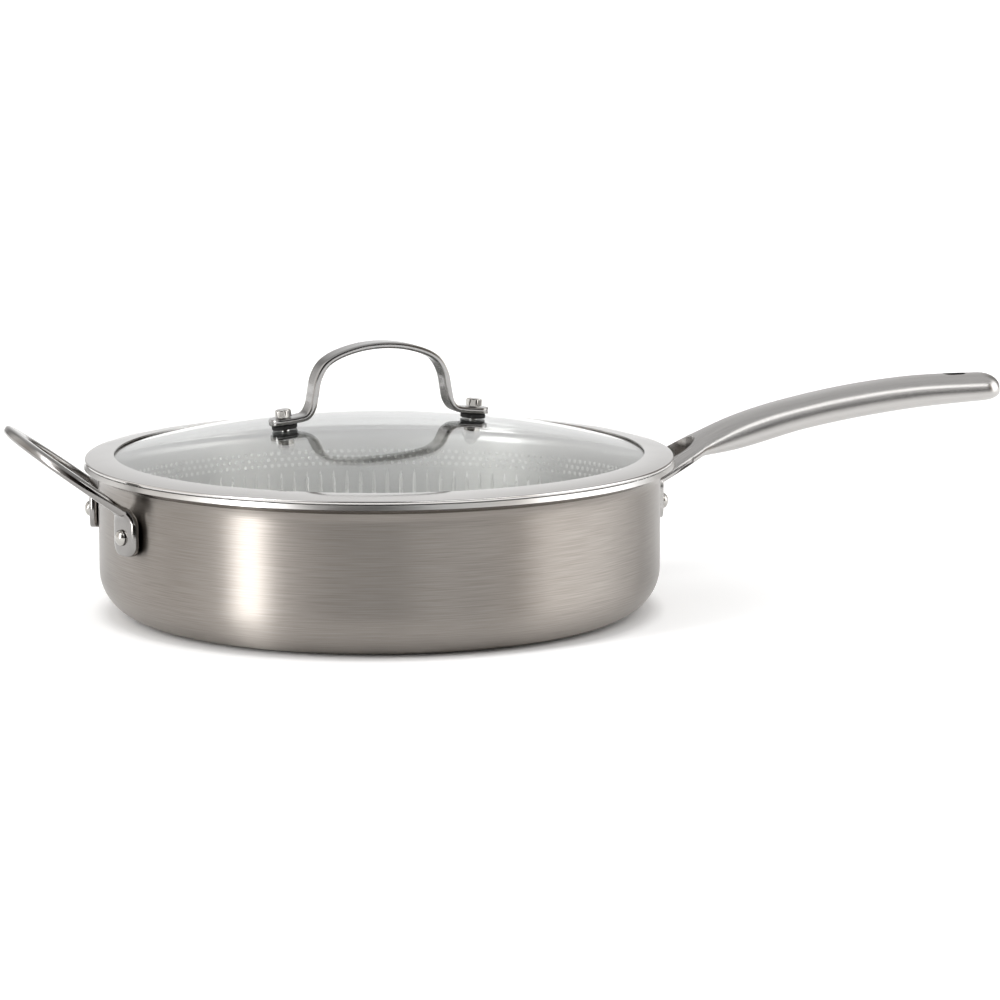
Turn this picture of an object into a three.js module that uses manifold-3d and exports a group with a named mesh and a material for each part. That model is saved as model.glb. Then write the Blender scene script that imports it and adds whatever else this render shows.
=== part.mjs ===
// A deep saute pan with a riveted long handle, a riveted helper loop and a glass lid that lifts off.
// Millimetres, +Z up, origin at the centre of the base, +X along the long handle.

import * as THREE from 'three';
import { mergeVertices } from 'three/addons/utils/BufferGeometryUtils.js';
import Module from 'manifold-3d';

// Clearances and facets
const GAP = 0.3;
const BORE_PLAY = 0.3;
const WELD = 1e-4;
const ROUND_SIDES = 60;
const SMALL_SIDES = 14;
const HEX_SIDES = 6;
const ARC_STEPS = 7;
const CORNER_STEPS = 3;
const QUARTER_TURN = Math.PI / 2;
const HALF_TURN = Math.PI;
const WHOLE_TURN = 2 * Math.PI;
const DEGREE = Math.PI / 180;

// Pan body, one bonded sheet
const WALL_RADIUS = 152;
const LIP_TOP = 82;
const SHEET = 2.6;
const BASE_FILLET = 24;
const LIP_FLARE = 8;
const LIP_ANGLE = 70 * DEGREE;
const LIP_TAIL = 2.4;
const FILLET_STEPS = 5;
const FLARE_STEPS = 4;

// Rivets
const RIVET_SHANK = 1.9;
const RIVET_PLAY = 0.25;
const RIVET_HEAD = 4.3;
const RIVET_DOME = 3.1;
const RIVET_BACK = 4;
const RIVET_BACK_DOME = 1.6;

// Long handle: lines along it are [distance from the wall, height above the rivets or half width]
const HANDLE_REACH = 205.5;
const HANDLE_TIP_RIDGE = 61.3;
const HANDLE_TIP_BELLY = 46.5;
const HANDLE_TIP_HALF_WIDTH = 14.2;
const HANDLE_RIDGE = [[-4, 15], [19, 27.7], [48, 41.5], [90, 52.5], [147, 60.3]];
const HANDLE_BELLY = [[20, 20.6], [48, 23.5], [90, 33.7], [147, 42.3]];
const HANDLE_HALF_WIDTH = [[-4, 22], [18, 20.5], [33, 16.6], [53, 14], [103, 13.4]];
const NECK_KEEL_RISE = 6;
const NECK_KEEL_SLOPE = 0.56;
const HANDLE_WAIST = 0.36;
const HANDLE_TOP_POWER = 2.3;
const HANDLE_BELLY_POWER = 2.3;
const HANDLE_END_ROUND = 12;
const HANDLE_END_POWER = 2.4;
const HANDLE_SKIN = 2;
const CAVITY_FROM_WALL = 45;
const CAVITY_FROM_TIP = 11.5;
const HANDLE_RIVET_DROP = 26.5;
const HANDLE_RIVET_HALF_SPAN = 21;
const FORK_SLOT_HALF_WIDTH = 12.5;
const FORK_SLOT_END = 26;
const POCKET_START = 7;
const POCKET_LENGTH = 13;
const POCKET_DEPTH = 2.2;
const POCKET_HEIGHT = 3.4;
const POCKET_RISE = 12.5;
const FLANGE_HALF_WIDTH = 28;
const FLANGE_BELOW = 9.5;
const FLANGE_ABOVE = 15.5;
const FLANGE_SHEET = 2.6;
const FLANGE_CORNER = 8;
const HANG_HOLE_FROM_TIP = 26.5;
const HANG_HOLE_HALF_WIDTH = 4;
const HANG_HOLE_HALF_LENGTH = 6.5;
const HANDLE_RING = 24;
const CAVITY_RING = 16;
const HANDLE_STATIONS = 23;
const CAVITY_STATIONS = 9;
const END_STATIONS = 5;

// Helper loop: a flat bar bent to a spade foot at each end
const HELPER_SPREAD = 18 * DEGREE;
const HELPER_BAR = 5.5;
const HELPER_GRIP_HALF = 6;
const HELPER_LEG_HALF = 7;
const HELPER_FOOT_HALF = 11;
const HELPER_FOOT_BELOW = 9.5;
const HELPER_FOOT_ROUND = 6;
const HELPER_RIVET_DROP = 29;
const HELPER_BEND = 8;
const HELPER_BEND_ABOVE = 7.7;
const HELPER_SLOPE = 36 * DEGREE;
const HELPER_REACH = 45.6;
const HELPER_SHOULDER = 20;
const HELPER_FRONT = 40;
const HELPER_POWER = 3.6;
const HELPER_RING = 14;
const HELPER_FOOT_STEPS = 5;
const HELPER_BEND_STEPS = 4;
const HELPER_LOOP_STEPS = 8;

// Lid: domed glass held in a folded steel rim
const RIM_SHEET = 0.9;
const RIM_OVERHANG = 7.2;
const RIM_BAND = 15.9;
const RIM_INNER_RISE = 4;
const RIM_CROWN = 0.35;
const RIM_HEM = 1;
const RIM_HEM_STEPS = 3;
const RIM_SKIRT_PLAY = 0.9;
const RIM_BEND = 0.7;
const GLASS_SHEET = 4;
const GLASS_RISE = 18.6;
const GLASS_STEPS = 5;
const GLASS_BORE_PLAY = 0.8;

// Lid handle: a strap bent to an arch, its line given as [distance in from the screw, height above the foot]
const LID_TURN = 8 * DEGREE;
const SCREW_HALF_SPAN = 54.5;
const STRAP_SHEET = 3.5;
const STRAP_HALF_WIDTH = 6;
const STRAP_POWER = 4;
const STRAP_TIP = 8;
const STRAP_TIP_ROUND = 5;
const STRAP_FLAT = 6.5;
const STRAP_ARCH = [[11.4, 2], [14.4, 6], [16, 13], [17.7, 21.5], [21.5, 28.5], [27.2, 32.7], [40.3, 37]];
const STRAP_CROWN = 38.4;
const STRAP_RING = 12;
const STRAP_STEPS = 30;
const PAD_SHEET = 2.4;
const PAD_HALF_WIDTH = 5;
const PAD_HALF_LENGTH = 7;
const SCREW_SHANK = 2.5;
const SCREW_HEAD = 4.4;
const SCREW_HEAD_HEIGHT = 4;
const SCREW_CHAMFER = 0.6;
const SEAL_RADIUS = 8;
const SEAL_SHEET = 2;
const WASHER_RADIUS = 6.5;
const WASHER_SHEET = 1;
const NUT_WALL = 2;
const NUT_HEIGHT = 4;
const NUT_CHAMFER = 0.6;
const NUT_DOME = 3.6;
const NUT_END_PLAY = 1;

const wasm = await Module();
wasm.setup();

const ALONG = new THREE.Vector3(1, 0, 0);
const SIDEWAYS = new THREE.Vector3(0, 1, 0);
const UPWARD = new THREE.Vector3(0, 0, 1);

// A closed solid from a geometry, turned outside out
function solid(geometry) {
  const plain = geometry.clone();
  plain.deleteAttribute('normal');
  plain.deleteAttribute('uv');
  const welded = mergeVertices(plain, WELD);
  const corners = welded.index.array;
  const faces = [];
  for (let i = 0; i < corners.length; i += 3) {
    const [a, b, c] = [corners[i], corners[i + 1], corners[i + 2]];
    if (a !== b && b !== c && c !== a) faces.push([a, b, c]);
  }
  const build = (kept) => new wasm.Manifold(new wasm.Mesh({
    numProp: 3,
    vertProperties: new Float32Array(welded.attributes.position.array),
    triVerts: new Uint32Array(kept.flat()),
  }));
  const body = build(faces);
  return body.volume() > 0 ? body : build(faces.map(([a, b, c]) => [a, c, b]));
}

// A solid with several others cut out of it
function cut(body, tools) {
  return tools.reduce((left, tool) => left.subtract(tool), body);
}

// A named sub-part from a solid
function part(name, body, material) {
  const shape = body.getMesh();
  const geometry = new THREE.BufferGeometry();
  geometry.setAttribute('position', new THREE.BufferAttribute(new Float32Array(shape.vertProperties), 3));
  geometry.setIndex(new THREE.BufferAttribute(new Uint32Array(shape.triVerts), 1));
  geometry.computeVertexNormals();
  const mesh = new THREE.Mesh(geometry, material);
  mesh.name = name;
  return mesh;
}

// Points on an arc, ends included
function arc(centreX, centreY, radius, from, to, steps) {
  return Array.from({ length: steps + 1 }, (_, i) => {
    const angle = from + (to - from) * i / steps;
    return [centreX + radius * Math.cos(angle), centreY + radius * Math.sin(angle)];
  });
}

// A turned geometry about +Z from [radius, height] points
function turned(profile, sides) {
  const points = profile.map(([radius, height]) => new THREE.Vector2(radius, height));
  return new THREE.LatheGeometry(points, sides).rotateX(QUARTER_TURN);
}

// A line shifted sideways, to its left as it runs, by the sheet thickness
function shifted(line, thickness) {
  const normal = (from, to) => {
    const length = Math.hypot(to[0] - from[0], to[1] - from[1]);
    return [(from[1] - to[1]) / length, (to[0] - from[0]) / length];
  };
  return line.map((point, i) => {
    const before = normal(line[Math.max(i - 1, 0)], line[Math.max(i, 1)]);
    const after = normal(line[Math.min(i, line.length - 2)], line[Math.min(i + 1, line.length - 1)]);
    const reach = thickness / (1 + before[0] * after[0] + before[1] * after[1]);
    return [point[0] + (before[0] + after[0]) * reach, point[1] + (before[1] + after[1]) * reach];
  });
}

// A smooth line through a few [place, value] stations
function through(stations) {
  const places = stations.map((station) => station[0]);
  const values = stations.map((station) => station[1]);
  const spline = new THREE.CubicInterpolant(places, values, 1, new Float32Array(1));
  return (place) => spline.evaluate(place)[0];
}

// A closed ring of points round a centre, square-shouldered by its powers above and below
function ring(centre, across, up, sizes, powers, count) {
  return Array.from({ length: count }, (_, i) => {
    const angle = WHOLE_TURN * i / count;
    const [cosine, sine] = [Math.cos(angle), Math.sin(angle)];
    const power = sine >= 0 ? powers.above : powers.below;
    const height = sine >= 0 ? sizes.above : sizes.below;
    const side = sizes.half * Math.sign(cosine) * Math.abs(cosine) ** (2 / power);
    const rise = height * Math.sign(sine) * Math.abs(sine) ** (2 / power);
    return centre.clone().addScaledVector(across, side).addScaledVector(up, rise);
  });
}

// A closed body skinned over a row of rings
function skinned(rings) {
  const count = rings[0].length;
  const middle = (points) => points.reduce((sum, p) => sum.add(p), new THREE.Vector3()).divideScalar(count);
  const points = [...rings.flat(), middle(rings[0]), middle(rings[rings.length - 1])];
  const startMiddle = rings.length * count;
  const endMiddle = startMiddle + 1;
  const lastRing = startMiddle - count;
  const faces = [];
  for (let k = 0; k < count; k += 1) {
    const next = (k + 1) % count;
    for (let low = 0; low < lastRing; low += count) {
      const high = low + count;
      faces.push(low + k, low + next, high + next, low + k, high + next, high + k);
    }
    faces.push(startMiddle, next, k, endMiddle, lastRing + k, lastRing + next);
  }
  const geometry = new THREE.BufferGeometry();
  geometry.setAttribute('position', new THREE.Float32BufferAttribute(points.flatMap((p) => p.toArray()), 3));
  geometry.setIndex(faces);
  return solid(geometry);
}

// A prism of a flat outline along +Z between two heights
function prism(shape, low, high, curveSegments = ARC_STEPS) {
  const settings = { depth: high - low, bevelEnabled: false, curveSegments };
  return new THREE.ExtrudeGeometry(shape, settings).translate(0, 0, low);
}

// An outline with two straight sides and two round ends, lying along X
function stadium(halfLength, halfWidth) {
  const straight = halfLength - halfWidth;
  const shape = new THREE.Shape();
  shape.moveTo(-straight, -halfWidth);
  shape.lineTo(straight, -halfWidth);
  shape.absarc(straight, 0, halfWidth, -QUARTER_TURN, QUARTER_TURN, false);
  shape.lineTo(-straight, halfWidth);
  shape.absarc(-straight, 0, halfWidth, QUARTER_TURN, QUARTER_TURN + HALF_TURN, false);
  return shape;
}

// A rectangle with round corners between two heights of Y
function roundedPlate(halfWidth, low, high, corner) {
  const side = halfWidth - corner;
  const shape = new THREE.Shape();
  shape.moveTo(-side, low);
  shape.lineTo(side, low);
  shape.absarc(side, low + corner, corner, -QUARTER_TURN, 0, false);
  shape.absarc(side, high - corner, corner, 0, QUARTER_TURN, false);
  shape.absarc(-side, high - corner, corner, QUARTER_TURN, HALF_TURN, false);
  shape.absarc(-side, low + corner, corner, HALF_TURN, HALF_TURN + QUARTER_TURN, false);
  return shape;
}

// A round rod along +Z between two heights
function rod(radius, low, high, sides = SMALL_SIDES) {
  return turned([[0, low], [radius, low], [radius, high], [0, high]], sides);
}

// A flat ring along +Z between two heights
function collar(outer, inner, low, high, sides = SMALL_SIDES) {
  return turned([[inner, low], [outer, low], [outer, high], [inner, high], [inner, low]], sides);
}

// Points an object that is built along +Z outwards from the pan's axis
function pointOutwards(object, azimuth, height) {
  object.rotation.set(0, QUARTER_TURN, azimuth, 'ZYX');
  object.position.z = height;
  object.updateMatrix();
  return object;
}

const brushed = new THREE.MeshStandardMaterial({ color: 0xb9b5ae, roughness: 0.34, metalness: 1 });
const polished = new THREE.MeshStandardMaterial({ color: 0xd2d0cc, roughness: 0.14, metalness: 1 });
const satin = new THREE.MeshStandardMaterial({ color: 0xc4c2bd, roughness: 0.28, metalness: 1 });
const bright = new THREE.MeshStandardMaterial({ color: 0xcfcdc8, roughness: 0.22, metalness: 1 });
const silicone = new THREE.MeshStandardMaterial({ color: 0x141414, roughness: 0.7, metalness: 0 });
const glass = new THREE.MeshStandardMaterial({
  color: 0xe6eeec, roughness: 0.03, metalness: 0, transparent: true, opacity: 0.35,
});

// Sizes that the pieces share
const innerWall = WALL_RADIUS - SHEET;
const facetSag = WALL_RADIUS * (1 - Math.cos(HALF_TURN / ROUND_SIDES));
const handleRivetHeight = LIP_TOP - HANDLE_RIVET_DROP;
const handleRivetAzimuth = Math.asin(HANDLE_RIVET_HALF_SPAN / WALL_RADIUS);
const helperRivetHeight = LIP_TOP - HELPER_RIVET_DROP;
const tallCut = LIP_TOP + HANDLE_REACH;
const pairSides = [1, -1];

// Pan shell: flat base, wide fillet, upright wall and a flared pouring lip
function shellBlank() {
  const tail = [LIP_TAIL * Math.sin(LIP_ANGLE), LIP_TAIL * Math.cos(LIP_ANGLE)];
  const flareFoot = LIP_TOP - (LIP_FLARE + SHEET) * Math.sin(LIP_ANGLE) - tail[1];
  const flareCentre = WALL_RADIUS + LIP_FLARE;
  const flare = arc(flareCentre, flareFoot, LIP_FLARE, HALF_TURN, HALF_TURN - LIP_ANGLE, FLARE_STEPS);
  const flareEnd = flare[FLARE_STEPS];
  const outside = [
    [0, 0],
    ...arc(WALL_RADIUS - BASE_FILLET, BASE_FILLET, BASE_FILLET, -QUARTER_TURN, 0, FILLET_STEPS),
    ...flare,
    [flareEnd[0] + tail[0], flareEnd[1] + tail[1]],
  ];
  return solid(turned([...outside, ...shifted(outside, SHEET).reverse()], ROUND_SIDES));
}

// A rivet through a handle foot and the wall: domed head outside, flat dome inside
function rivetBody(footThickness) {
  const back = innerWall - facetSag - GAP;
  const seat = WALL_RADIUS + GAP + footThickness + GAP;
  const head = new THREE.EllipseCurve(0, seat, RIVET_HEAD, RIVET_DOME, 0, QUARTER_TURN);
  const tail = new THREE.EllipseCurve(0, back, RIVET_BACK, RIVET_BACK_DOME, -QUARTER_TURN, 0);
  const rounded = (curve) => curve.getPoints(CORNER_STEPS).map((p) => [p.x, p.y]);
  const profile = [...rounded(tail), [RIVET_SHANK, back], [RIVET_SHANK, seat], ...rounded(head)];
  profile[0][0] = 0;
  profile[profile.length - 1][0] = 0;
  return solid(turned(profile, SMALL_SIDES));
}

// The bore that a rivet needs in the wall and in a foot
function rivetBore(azimuth, height) {
  const bore = rod(RIVET_SHANK + RIVET_PLAY, innerWall - BASE_FILLET, WALL_RADIUS + BASE_FILLET);
  const place = pointOutwards(new THREE.Object3D(), azimuth, height);
  return solid(bore.applyMatrix4(place.matrix));
}

const handleBores = pairSides.map((side) => rivetBore(side * handleRivetAzimuth, handleRivetHeight));
const helperBores = pairSides.map((side) => rivetBore(side * HELPER_SPREAD, helperRivetHeight));
const helperWallBores = pairSides.map((side) => rivetBore(HALF_TURN + side * HELPER_SPREAD, helperRivetHeight));
const panShell = cut(shellBlank(), [...handleBores, ...helperWallBores]);

// Long handle: a forked neck on a flange bent to the wall, running into a hollow, deep-bellied grip
const ridgeLine = through([...HANDLE_RIDGE, [HANDLE_REACH, HANDLE_TIP_RIDGE]]);
const bellyLine = through([...HANDLE_BELLY, [HANDLE_REACH, HANDLE_TIP_BELLY]]);
const widthLine = through([...HANDLE_HALF_WIDTH, [HANDLE_REACH, HANDLE_TIP_HALF_WIDTH]]);
const endStart = HANDLE_REACH - HANDLE_END_ROUND;

// One upright section of the handle at a distance from the wall, set in by a skin thickness
function handleSection(distance, skin, count) {
  const intoEnd = Math.max(0, (distance - endStart) / HANDLE_END_ROUND);
  const rounding = (1 - intoEnd ** HANDLE_END_POWER) ** (1 / HANDLE_END_POWER);
  const neckKeel = NECK_KEEL_RISE + NECK_KEEL_SLOPE * distance;
  const keel = handleRivetHeight + Math.min(neckKeel, bellyLine(distance));
  const top = handleRivetHeight + ridgeLine(distance);
  const waist = keel + HANDLE_WAIST * (top - keel);
  const centre = new THREE.Vector3(WALL_RADIUS + distance, 0, waist);
  const sizes = {
    half: widthLine(distance) * rounding - skin,
    above: (top - waist) * rounding - skin,
    below: (waist - keel) * rounding - skin,
  };
  const powers = { above: HANDLE_TOP_POWER, below: HANDLE_BELLY_POWER };
  return ring(centre, SIDEWAYS, UPWARD, sizes, powers, count);
}

// The whole outside of the handle, closing up round its end
function handleOutside() {
  const root = HANDLE_RIDGE[0][0];
  const sections = [];
  for (let i = 0; i < HANDLE_STATIONS; i += 1) {
    sections.push(handleSection(root + (endStart - root) * i / HANDLE_STATIONS, 0, HANDLE_RING));
  }
  for (let i = 0; i < END_STATIONS; i += 1) {
    const intoEnd = HANDLE_END_ROUND * Math.sin(QUARTER_TURN * i / END_STATIONS);
    sections.push(handleSection(endStart + intoEnd, 0, HANDLE_RING));
  }
  return skinned(sections);
}

// The hollow of the grip, which the hanging hole opens
function handleCavity() {
  const length = HANDLE_REACH - CAVITY_FROM_TIP - CAVITY_FROM_WALL;
  const sections = [];
  for (let i = 0; i <= CAVITY_STATIONS; i += 1) {
    const distance = CAVITY_FROM_WALL + length * i / CAVITY_STATIONS;
    sections.push(handleSection(distance, HANDLE_SKIN, CAVITY_RING));
  }
  return skinned(sections);
}

// A slot with round ends straight down through the handle at a distance from the wall
function handleSlot(distance, halfLength, halfWidth) {
  return solid(prism(stadium(halfLength, halfWidth), 0, tallCut).translate(WALL_RADIUS + distance, 0, 0));
}

// The wedge-shaped pocket pressed into the outer side of one fork leg
function forkPocket(side) {
  const shape = new THREE.Shape();
  shape.moveTo(0, 0);
  shape.lineTo(POCKET_LENGTH, NECK_KEEL_SLOPE * POCKET_LENGTH);
  shape.lineTo(POCKET_LENGTH, NECK_KEEL_SLOPE * POCKET_LENGTH + POCKET_HEIGHT);
  const floor = widthLine(POCKET_START + POCKET_LENGTH) - POCKET_DEPTH;
  const wedge = prism(shape, 0, FLANGE_HALF_WIDTH).rotateX(QUARTER_TURN);
  const inner = side > 0 ? floor + FLANGE_HALF_WIDTH : -floor;
  return solid(wedge.translate(WALL_RADIUS + POCKET_START, inner, handleRivetHeight + POCKET_RISE));
}

// The flange: a rounded plate bent to the wall
function flangePlate() {
  const low = handleRivetHeight - FLANGE_BELOW;
  const high = handleRivetHeight + FLANGE_ABOVE;
  const plate = roundedPlate(FLANGE_HALF_WIDTH, low, high, FLANGE_CORNER);
  const block = prism(plate, 0, 2 * WALL_RADIUS, CORNER_STEPS).rotateX(QUARTER_TURN).rotateZ(QUARTER_TURN);
  const inside = WALL_RADIUS + GAP;
  const band = collar(inside + FLANGE_SHEET, inside, low - GAP, high + GAP, 2 * ROUND_SIDES);
  return solid(band).intersect(solid(block));
}

const wallSpace = solid(rod(WALL_RADIUS + GAP, 0, tallCut, 2 * ROUND_SIDES));
const forkSlot = handleSlot(0, FORK_SLOT_END, FORK_SLOT_HALF_WIDTH);
const hangHole = handleSlot(HANDLE_REACH - HANG_HOLE_FROM_TIP, HANG_HOLE_HALF_LENGTH, HANG_HOLE_HALF_WIDTH);
const handleGrip = cut(handleOutside(), [
  forkSlot, wallSpace, handleCavity(), hangHole, ...pairSides.map(forkPocket),
]);
const longHandle = cut(handleGrip.add(flangePlate()), handleBores);

// One cross-section of the helper bar at a point of its path
function barSection(point, heading, faceHint, half) {
  const face = faceHint.clone().addScaledVector(heading, -faceHint.dot(heading)).normalize();
  const across = new THREE.Vector3().crossVectors(heading, face);
  const sizes = { half, above: HELPER_BAR / 2, below: HELPER_BAR / 2 };
  return ring(point, across, face, sizes, { above: HELPER_POWER, below: HELPER_POWER }, HELPER_RING);
}

// Half width left at a depth into a rounded end
function roundedHalf(half, round, fromEnd) {
  const left = Math.max(0, 1 - fromEnd / round);
  return half - round * (1 - Math.sqrt(1 - left * left));
}

// Half of the helper loop's sections, from the foot on one side to the middle of the front, towards +X
function helperHalf(side) {
  const radial = ALONG.clone().applyAxisAngle(UPWARD, side * HELPER_SPREAD);
  const inward = radial.clone().negate();
  const face = WALL_RADIUS + GAP + HELPER_BAR / 2;
  const footLow = helperRivetHeight - HELPER_FOOT_BELOW;
  const sections = [];
  for (let i = 1; i <= HELPER_FOOT_STEPS; i += 1) {
    const rise = HELPER_FOOT_ROUND * (1 - Math.cos(QUARTER_TURN * i / HELPER_FOOT_STEPS));
    const point = radial.clone().multiplyScalar(face).setZ(footLow + rise);
    const half = roundedHalf(HELPER_FOOT_HALF, HELPER_FOOT_ROUND, rise);
    sections.push(barSection(point, UPWARD, inward, half));
  }
  const slope = Math.tan(HELPER_SLOPE);
  const bendTurn = QUARTER_TURN - Math.atan(slope * Math.cos(HELPER_SPREAD));
  const bendAt = (angle) => radial.clone()
    .multiplyScalar(face + HELPER_BEND * (1 - Math.cos(angle)))
    .setZ(helperRivetHeight + HELPER_BEND_ABOVE + HELPER_BEND * Math.sin(angle));
  for (let i = 0; i <= HELPER_BEND_STEPS; i += 1) {
    const share = i / HELPER_BEND_STEPS;
    const angle = bendTurn * share;
    const heading = radial.clone().multiplyScalar(Math.sin(angle)).setZ(Math.cos(angle));
    const half = THREE.MathUtils.lerp(HELPER_FOOT_HALF, HELPER_LEG_HALF, share);
    const faceHere = inward.clone().multiplyScalar(Math.cos(angle)).setZ(Math.sin(angle));
    sections.push(barSection(bendAt(angle), heading, faceHere, half));
  }
  const start = bendAt(bendTurn);
  const front = WALL_RADIUS + HELPER_REACH;
  const plan = new THREE.CubicBezierCurve3(
    start,
    start.clone().addScaledVector(radial, HELPER_SHOULDER),
    new THREE.Vector3(front, side * HELPER_FRONT, 0),
    new THREE.Vector3(front, 0, 0),
  );
  const loopFace = new THREE.Vector3(-Math.sin(HELPER_SLOPE), 0, Math.cos(HELPER_SLOPE));
  for (let i = 1; i <= HELPER_LOOP_STEPS; i += 1) {
    const share = i / HELPER_LOOP_STEPS;
    const point = plan.getPoint(share);
    point.z = start.z + (point.x - start.x) * slope;
    const heading = plan.getTangent(share);
    heading.z = heading.x * slope;
    const half = THREE.MathUtils.lerp(HELPER_LEG_HALF, HELPER_GRIP_HALF, Math.min(1, 2 * share));
    sections.push(barSection(point, heading.normalize(), loopFace, half));
  }
  return sections;
}

// The other half runs back from the front, with its rings put in the first half's order
function helperLoop() {
  const back = helperHalf(-1).reverse().slice(1);
  const reordered = back.map((points) =>
    points.map((_, i) => points[(HELPER_RING + HELPER_RING / 2 - i) % HELPER_RING]));
  return skinned([...helperHalf(1), ...reordered]);
}

const helperHandle = cut(helperLoop(), helperBores);

// Lid glass: a shallow dome of one thickness
const rimRadius = WALL_RADIUS + RIM_OVERHANG;
const rimInnerRadius = rimRadius - RIM_BAND;
const rimTop = LIP_TOP + RIM_INNER_RISE;
const domeRadius = (rimInnerRadius ** 2 + GLASS_RISE ** 2) / (2 * GLASS_RISE);
const domeCentre = rimTop - RIM_SHEET - GAP + GLASS_RISE - domeRadius;
const skirtRadius = innerWall - RIM_SKIRT_PLAY;
const glassRadius = skirtRadius - RIM_SHEET - GAP;
const domeSag = (glassRadius / GLASS_STEPS) ** 2 / (8 * domeRadius);

function domeHeight(radius, sphere) {
  return domeCentre + Math.sqrt(sphere ** 2 - radius ** 2);
}

function glassBlank() {
  const line = (sphere) => Array.from({ length: GLASS_STEPS + 1 }, (_, i) => {
    const radius = glassRadius * i / GLASS_STEPS;
    return [radius, domeHeight(radius, sphere)];
  });
  return solid(turned([...line(domeRadius - GLASS_SHEET), ...line(domeRadius).reverse()], ROUND_SIDES));
}

// Lid rim: a folded strip over the glass edge, hemmed outside, with a short skirt that centres it in the mouth
function rimFold() {
  const under = LIP_TOP + GAP;
  const hemRadius = rimRadius - RIM_HEM;
  const hemHeight = under + RIM_HEM;
  const underGlass = (radius) => domeHeight(radius, domeRadius - GLASS_SHEET) - GAP - RIM_SHEET;
  const foldEnd = rimInnerRadius + RIM_SHEET;
  const line = [
    [rimInnerRadius, rimTop],
    [(rimInnerRadius + hemRadius) / 2, (rimTop + hemHeight + RIM_HEM) / 2 + RIM_CROWN],
    ...arc(hemRadius, hemHeight, RIM_HEM, QUARTER_TURN, -QUARTER_TURN, RIM_HEM_STEPS),
    [skirtRadius + RIM_BEND, under],
    [skirtRadius, under - RIM_BEND],
    [skirtRadius, underGlass(glassRadius) + RIM_BEND],
    [skirtRadius - RIM_BEND, underGlass(glassRadius)],
    [foldEnd, underGlass(foldEnd)],
  ];
  const fold = [...line, ...shifted(line, -RIM_SHEET).reverse()];
  return solid(turned([...fold, fold[0]], ROUND_SIDES));
}

// Heights on a lid screw's own axis, which is square to the glass, from the glass's upper face
const strapBase = GAP + PAD_SHEET + GAP;
const headBase = strapBase + STRAP_SHEET + GAP;
const headTop = headBase + SCREW_HEAD_HEIGHT;
const sealTop = -GLASS_SHEET - GAP - domeSag;
const washerTop = sealTop - SEAL_SHEET - GAP;
const nutTop = washerTop - WASHER_SHEET - GAP;
const nutFoot = nutTop - NUT_HEIGHT;
const screwBore = SCREW_SHANK + BORE_PLAY;
const nutRadius = screwBore + NUT_WALL;
const screwLean = Math.asin(SCREW_HALF_SPAN / domeRadius);

// A group that stands on the glass at one foot of the lid handle
function screwAxis(side) {
  const axis = new THREE.Group();
  axis.rotation.y = side * screwLean;
  axis.position.set(domeRadius * Math.sin(axis.rotation.y), 0, domeCentre + domeRadius * Math.cos(axis.rotation.y));
  axis.updateMatrix();
  return axis;
}

const screwAxes = pairSides.map(screwAxis);

function screwBores(radius) {
  return screwAxes.map((axis) => solid(rod(radius, nutFoot, headTop).applyMatrix4(axis.matrix)));
}

// Lid handle line: feet square to the screws, bent up into an arch
function strapPath() {
  const foot = new THREE.Vector3(0, 0, strapBase + STRAP_SHEET / 2).applyMatrix4(screwAxes[0].matrix);
  const outwards = ALONG.clone().transformDirection(screwAxes[0].matrix);
  const half = [
    ...[STRAP_TIP, 0, -STRAP_FLAT].map((distance) => foot.clone().addScaledVector(outwards, distance)),
    ...STRAP_ARCH.map(([inset, rise]) => new THREE.Vector3(SCREW_HALF_SPAN - inset, 0, foot.z + rise)),
  ];
  const crown = new THREE.Vector3(0, 0, foot.z + STRAP_CROWN);
  const other = half.map((point) => new THREE.Vector3(-point.x, 0, point.z)).reverse();
  return new THREE.CatmullRomCurve3([...half, crown, ...other], false, 'centripetal');
}

// The strap itself, narrowed to a round tip at each end
function strapBody() {
  const path = strapPath();
  const length = path.getLength();
  const tips = Array.from({ length: CORNER_STEPS }, (_, i) =>
    STRAP_TIP_ROUND * (1 - Math.cos(QUARTER_TURN * (i + 1) / (CORNER_STEPS + 1))));
  const straight = Array.from({ length: STRAP_STEPS + 1 }, (_, i) =>
    STRAP_TIP_ROUND + (length - 2 * STRAP_TIP_ROUND) * i / STRAP_STEPS);
  const distances = [...tips, ...straight, ...tips.map((distance) => length - distance).reverse()];
  return skinned(distances.map((distance) => {
    const share = distance / length;
    const face = new THREE.Vector3().crossVectors(SIDEWAYS, path.getTangentAt(share));
    const half = roundedHalf(STRAP_HALF_WIDTH, STRAP_TIP_ROUND, Math.min(distance, length - distance));
    const sizes = { half, above: STRAP_SHEET / 2, below: STRAP_SHEET / 2 };
    const powers = { above: STRAP_POWER, below: STRAP_POWER };
    return ring(path.getPointAt(share), SIDEWAYS, face, sizes, powers, STRAP_RING);
  }));
}

function screwBody() {
  const head = turned([
    [0, headBase],
    [SCREW_HEAD, headBase],
    [SCREW_HEAD, headTop - SCREW_CHAMFER],
    [SCREW_HEAD - SCREW_CHAMFER, headTop],
    [0, headTop],
  ], HEX_SIDES);
  return solid(head).add(solid(rod(SCREW_SHANK, nutFoot, headBase + SCREW_CHAMFER)));
}

function padBody() {
  const pad = prism(stadium(PAD_HALF_LENGTH, PAD_HALF_WIDTH), GAP, GAP + PAD_SHEET);
  return cut(solid(pad), [solid(rod(screwBore, 0, headTop))]);
}

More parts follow.
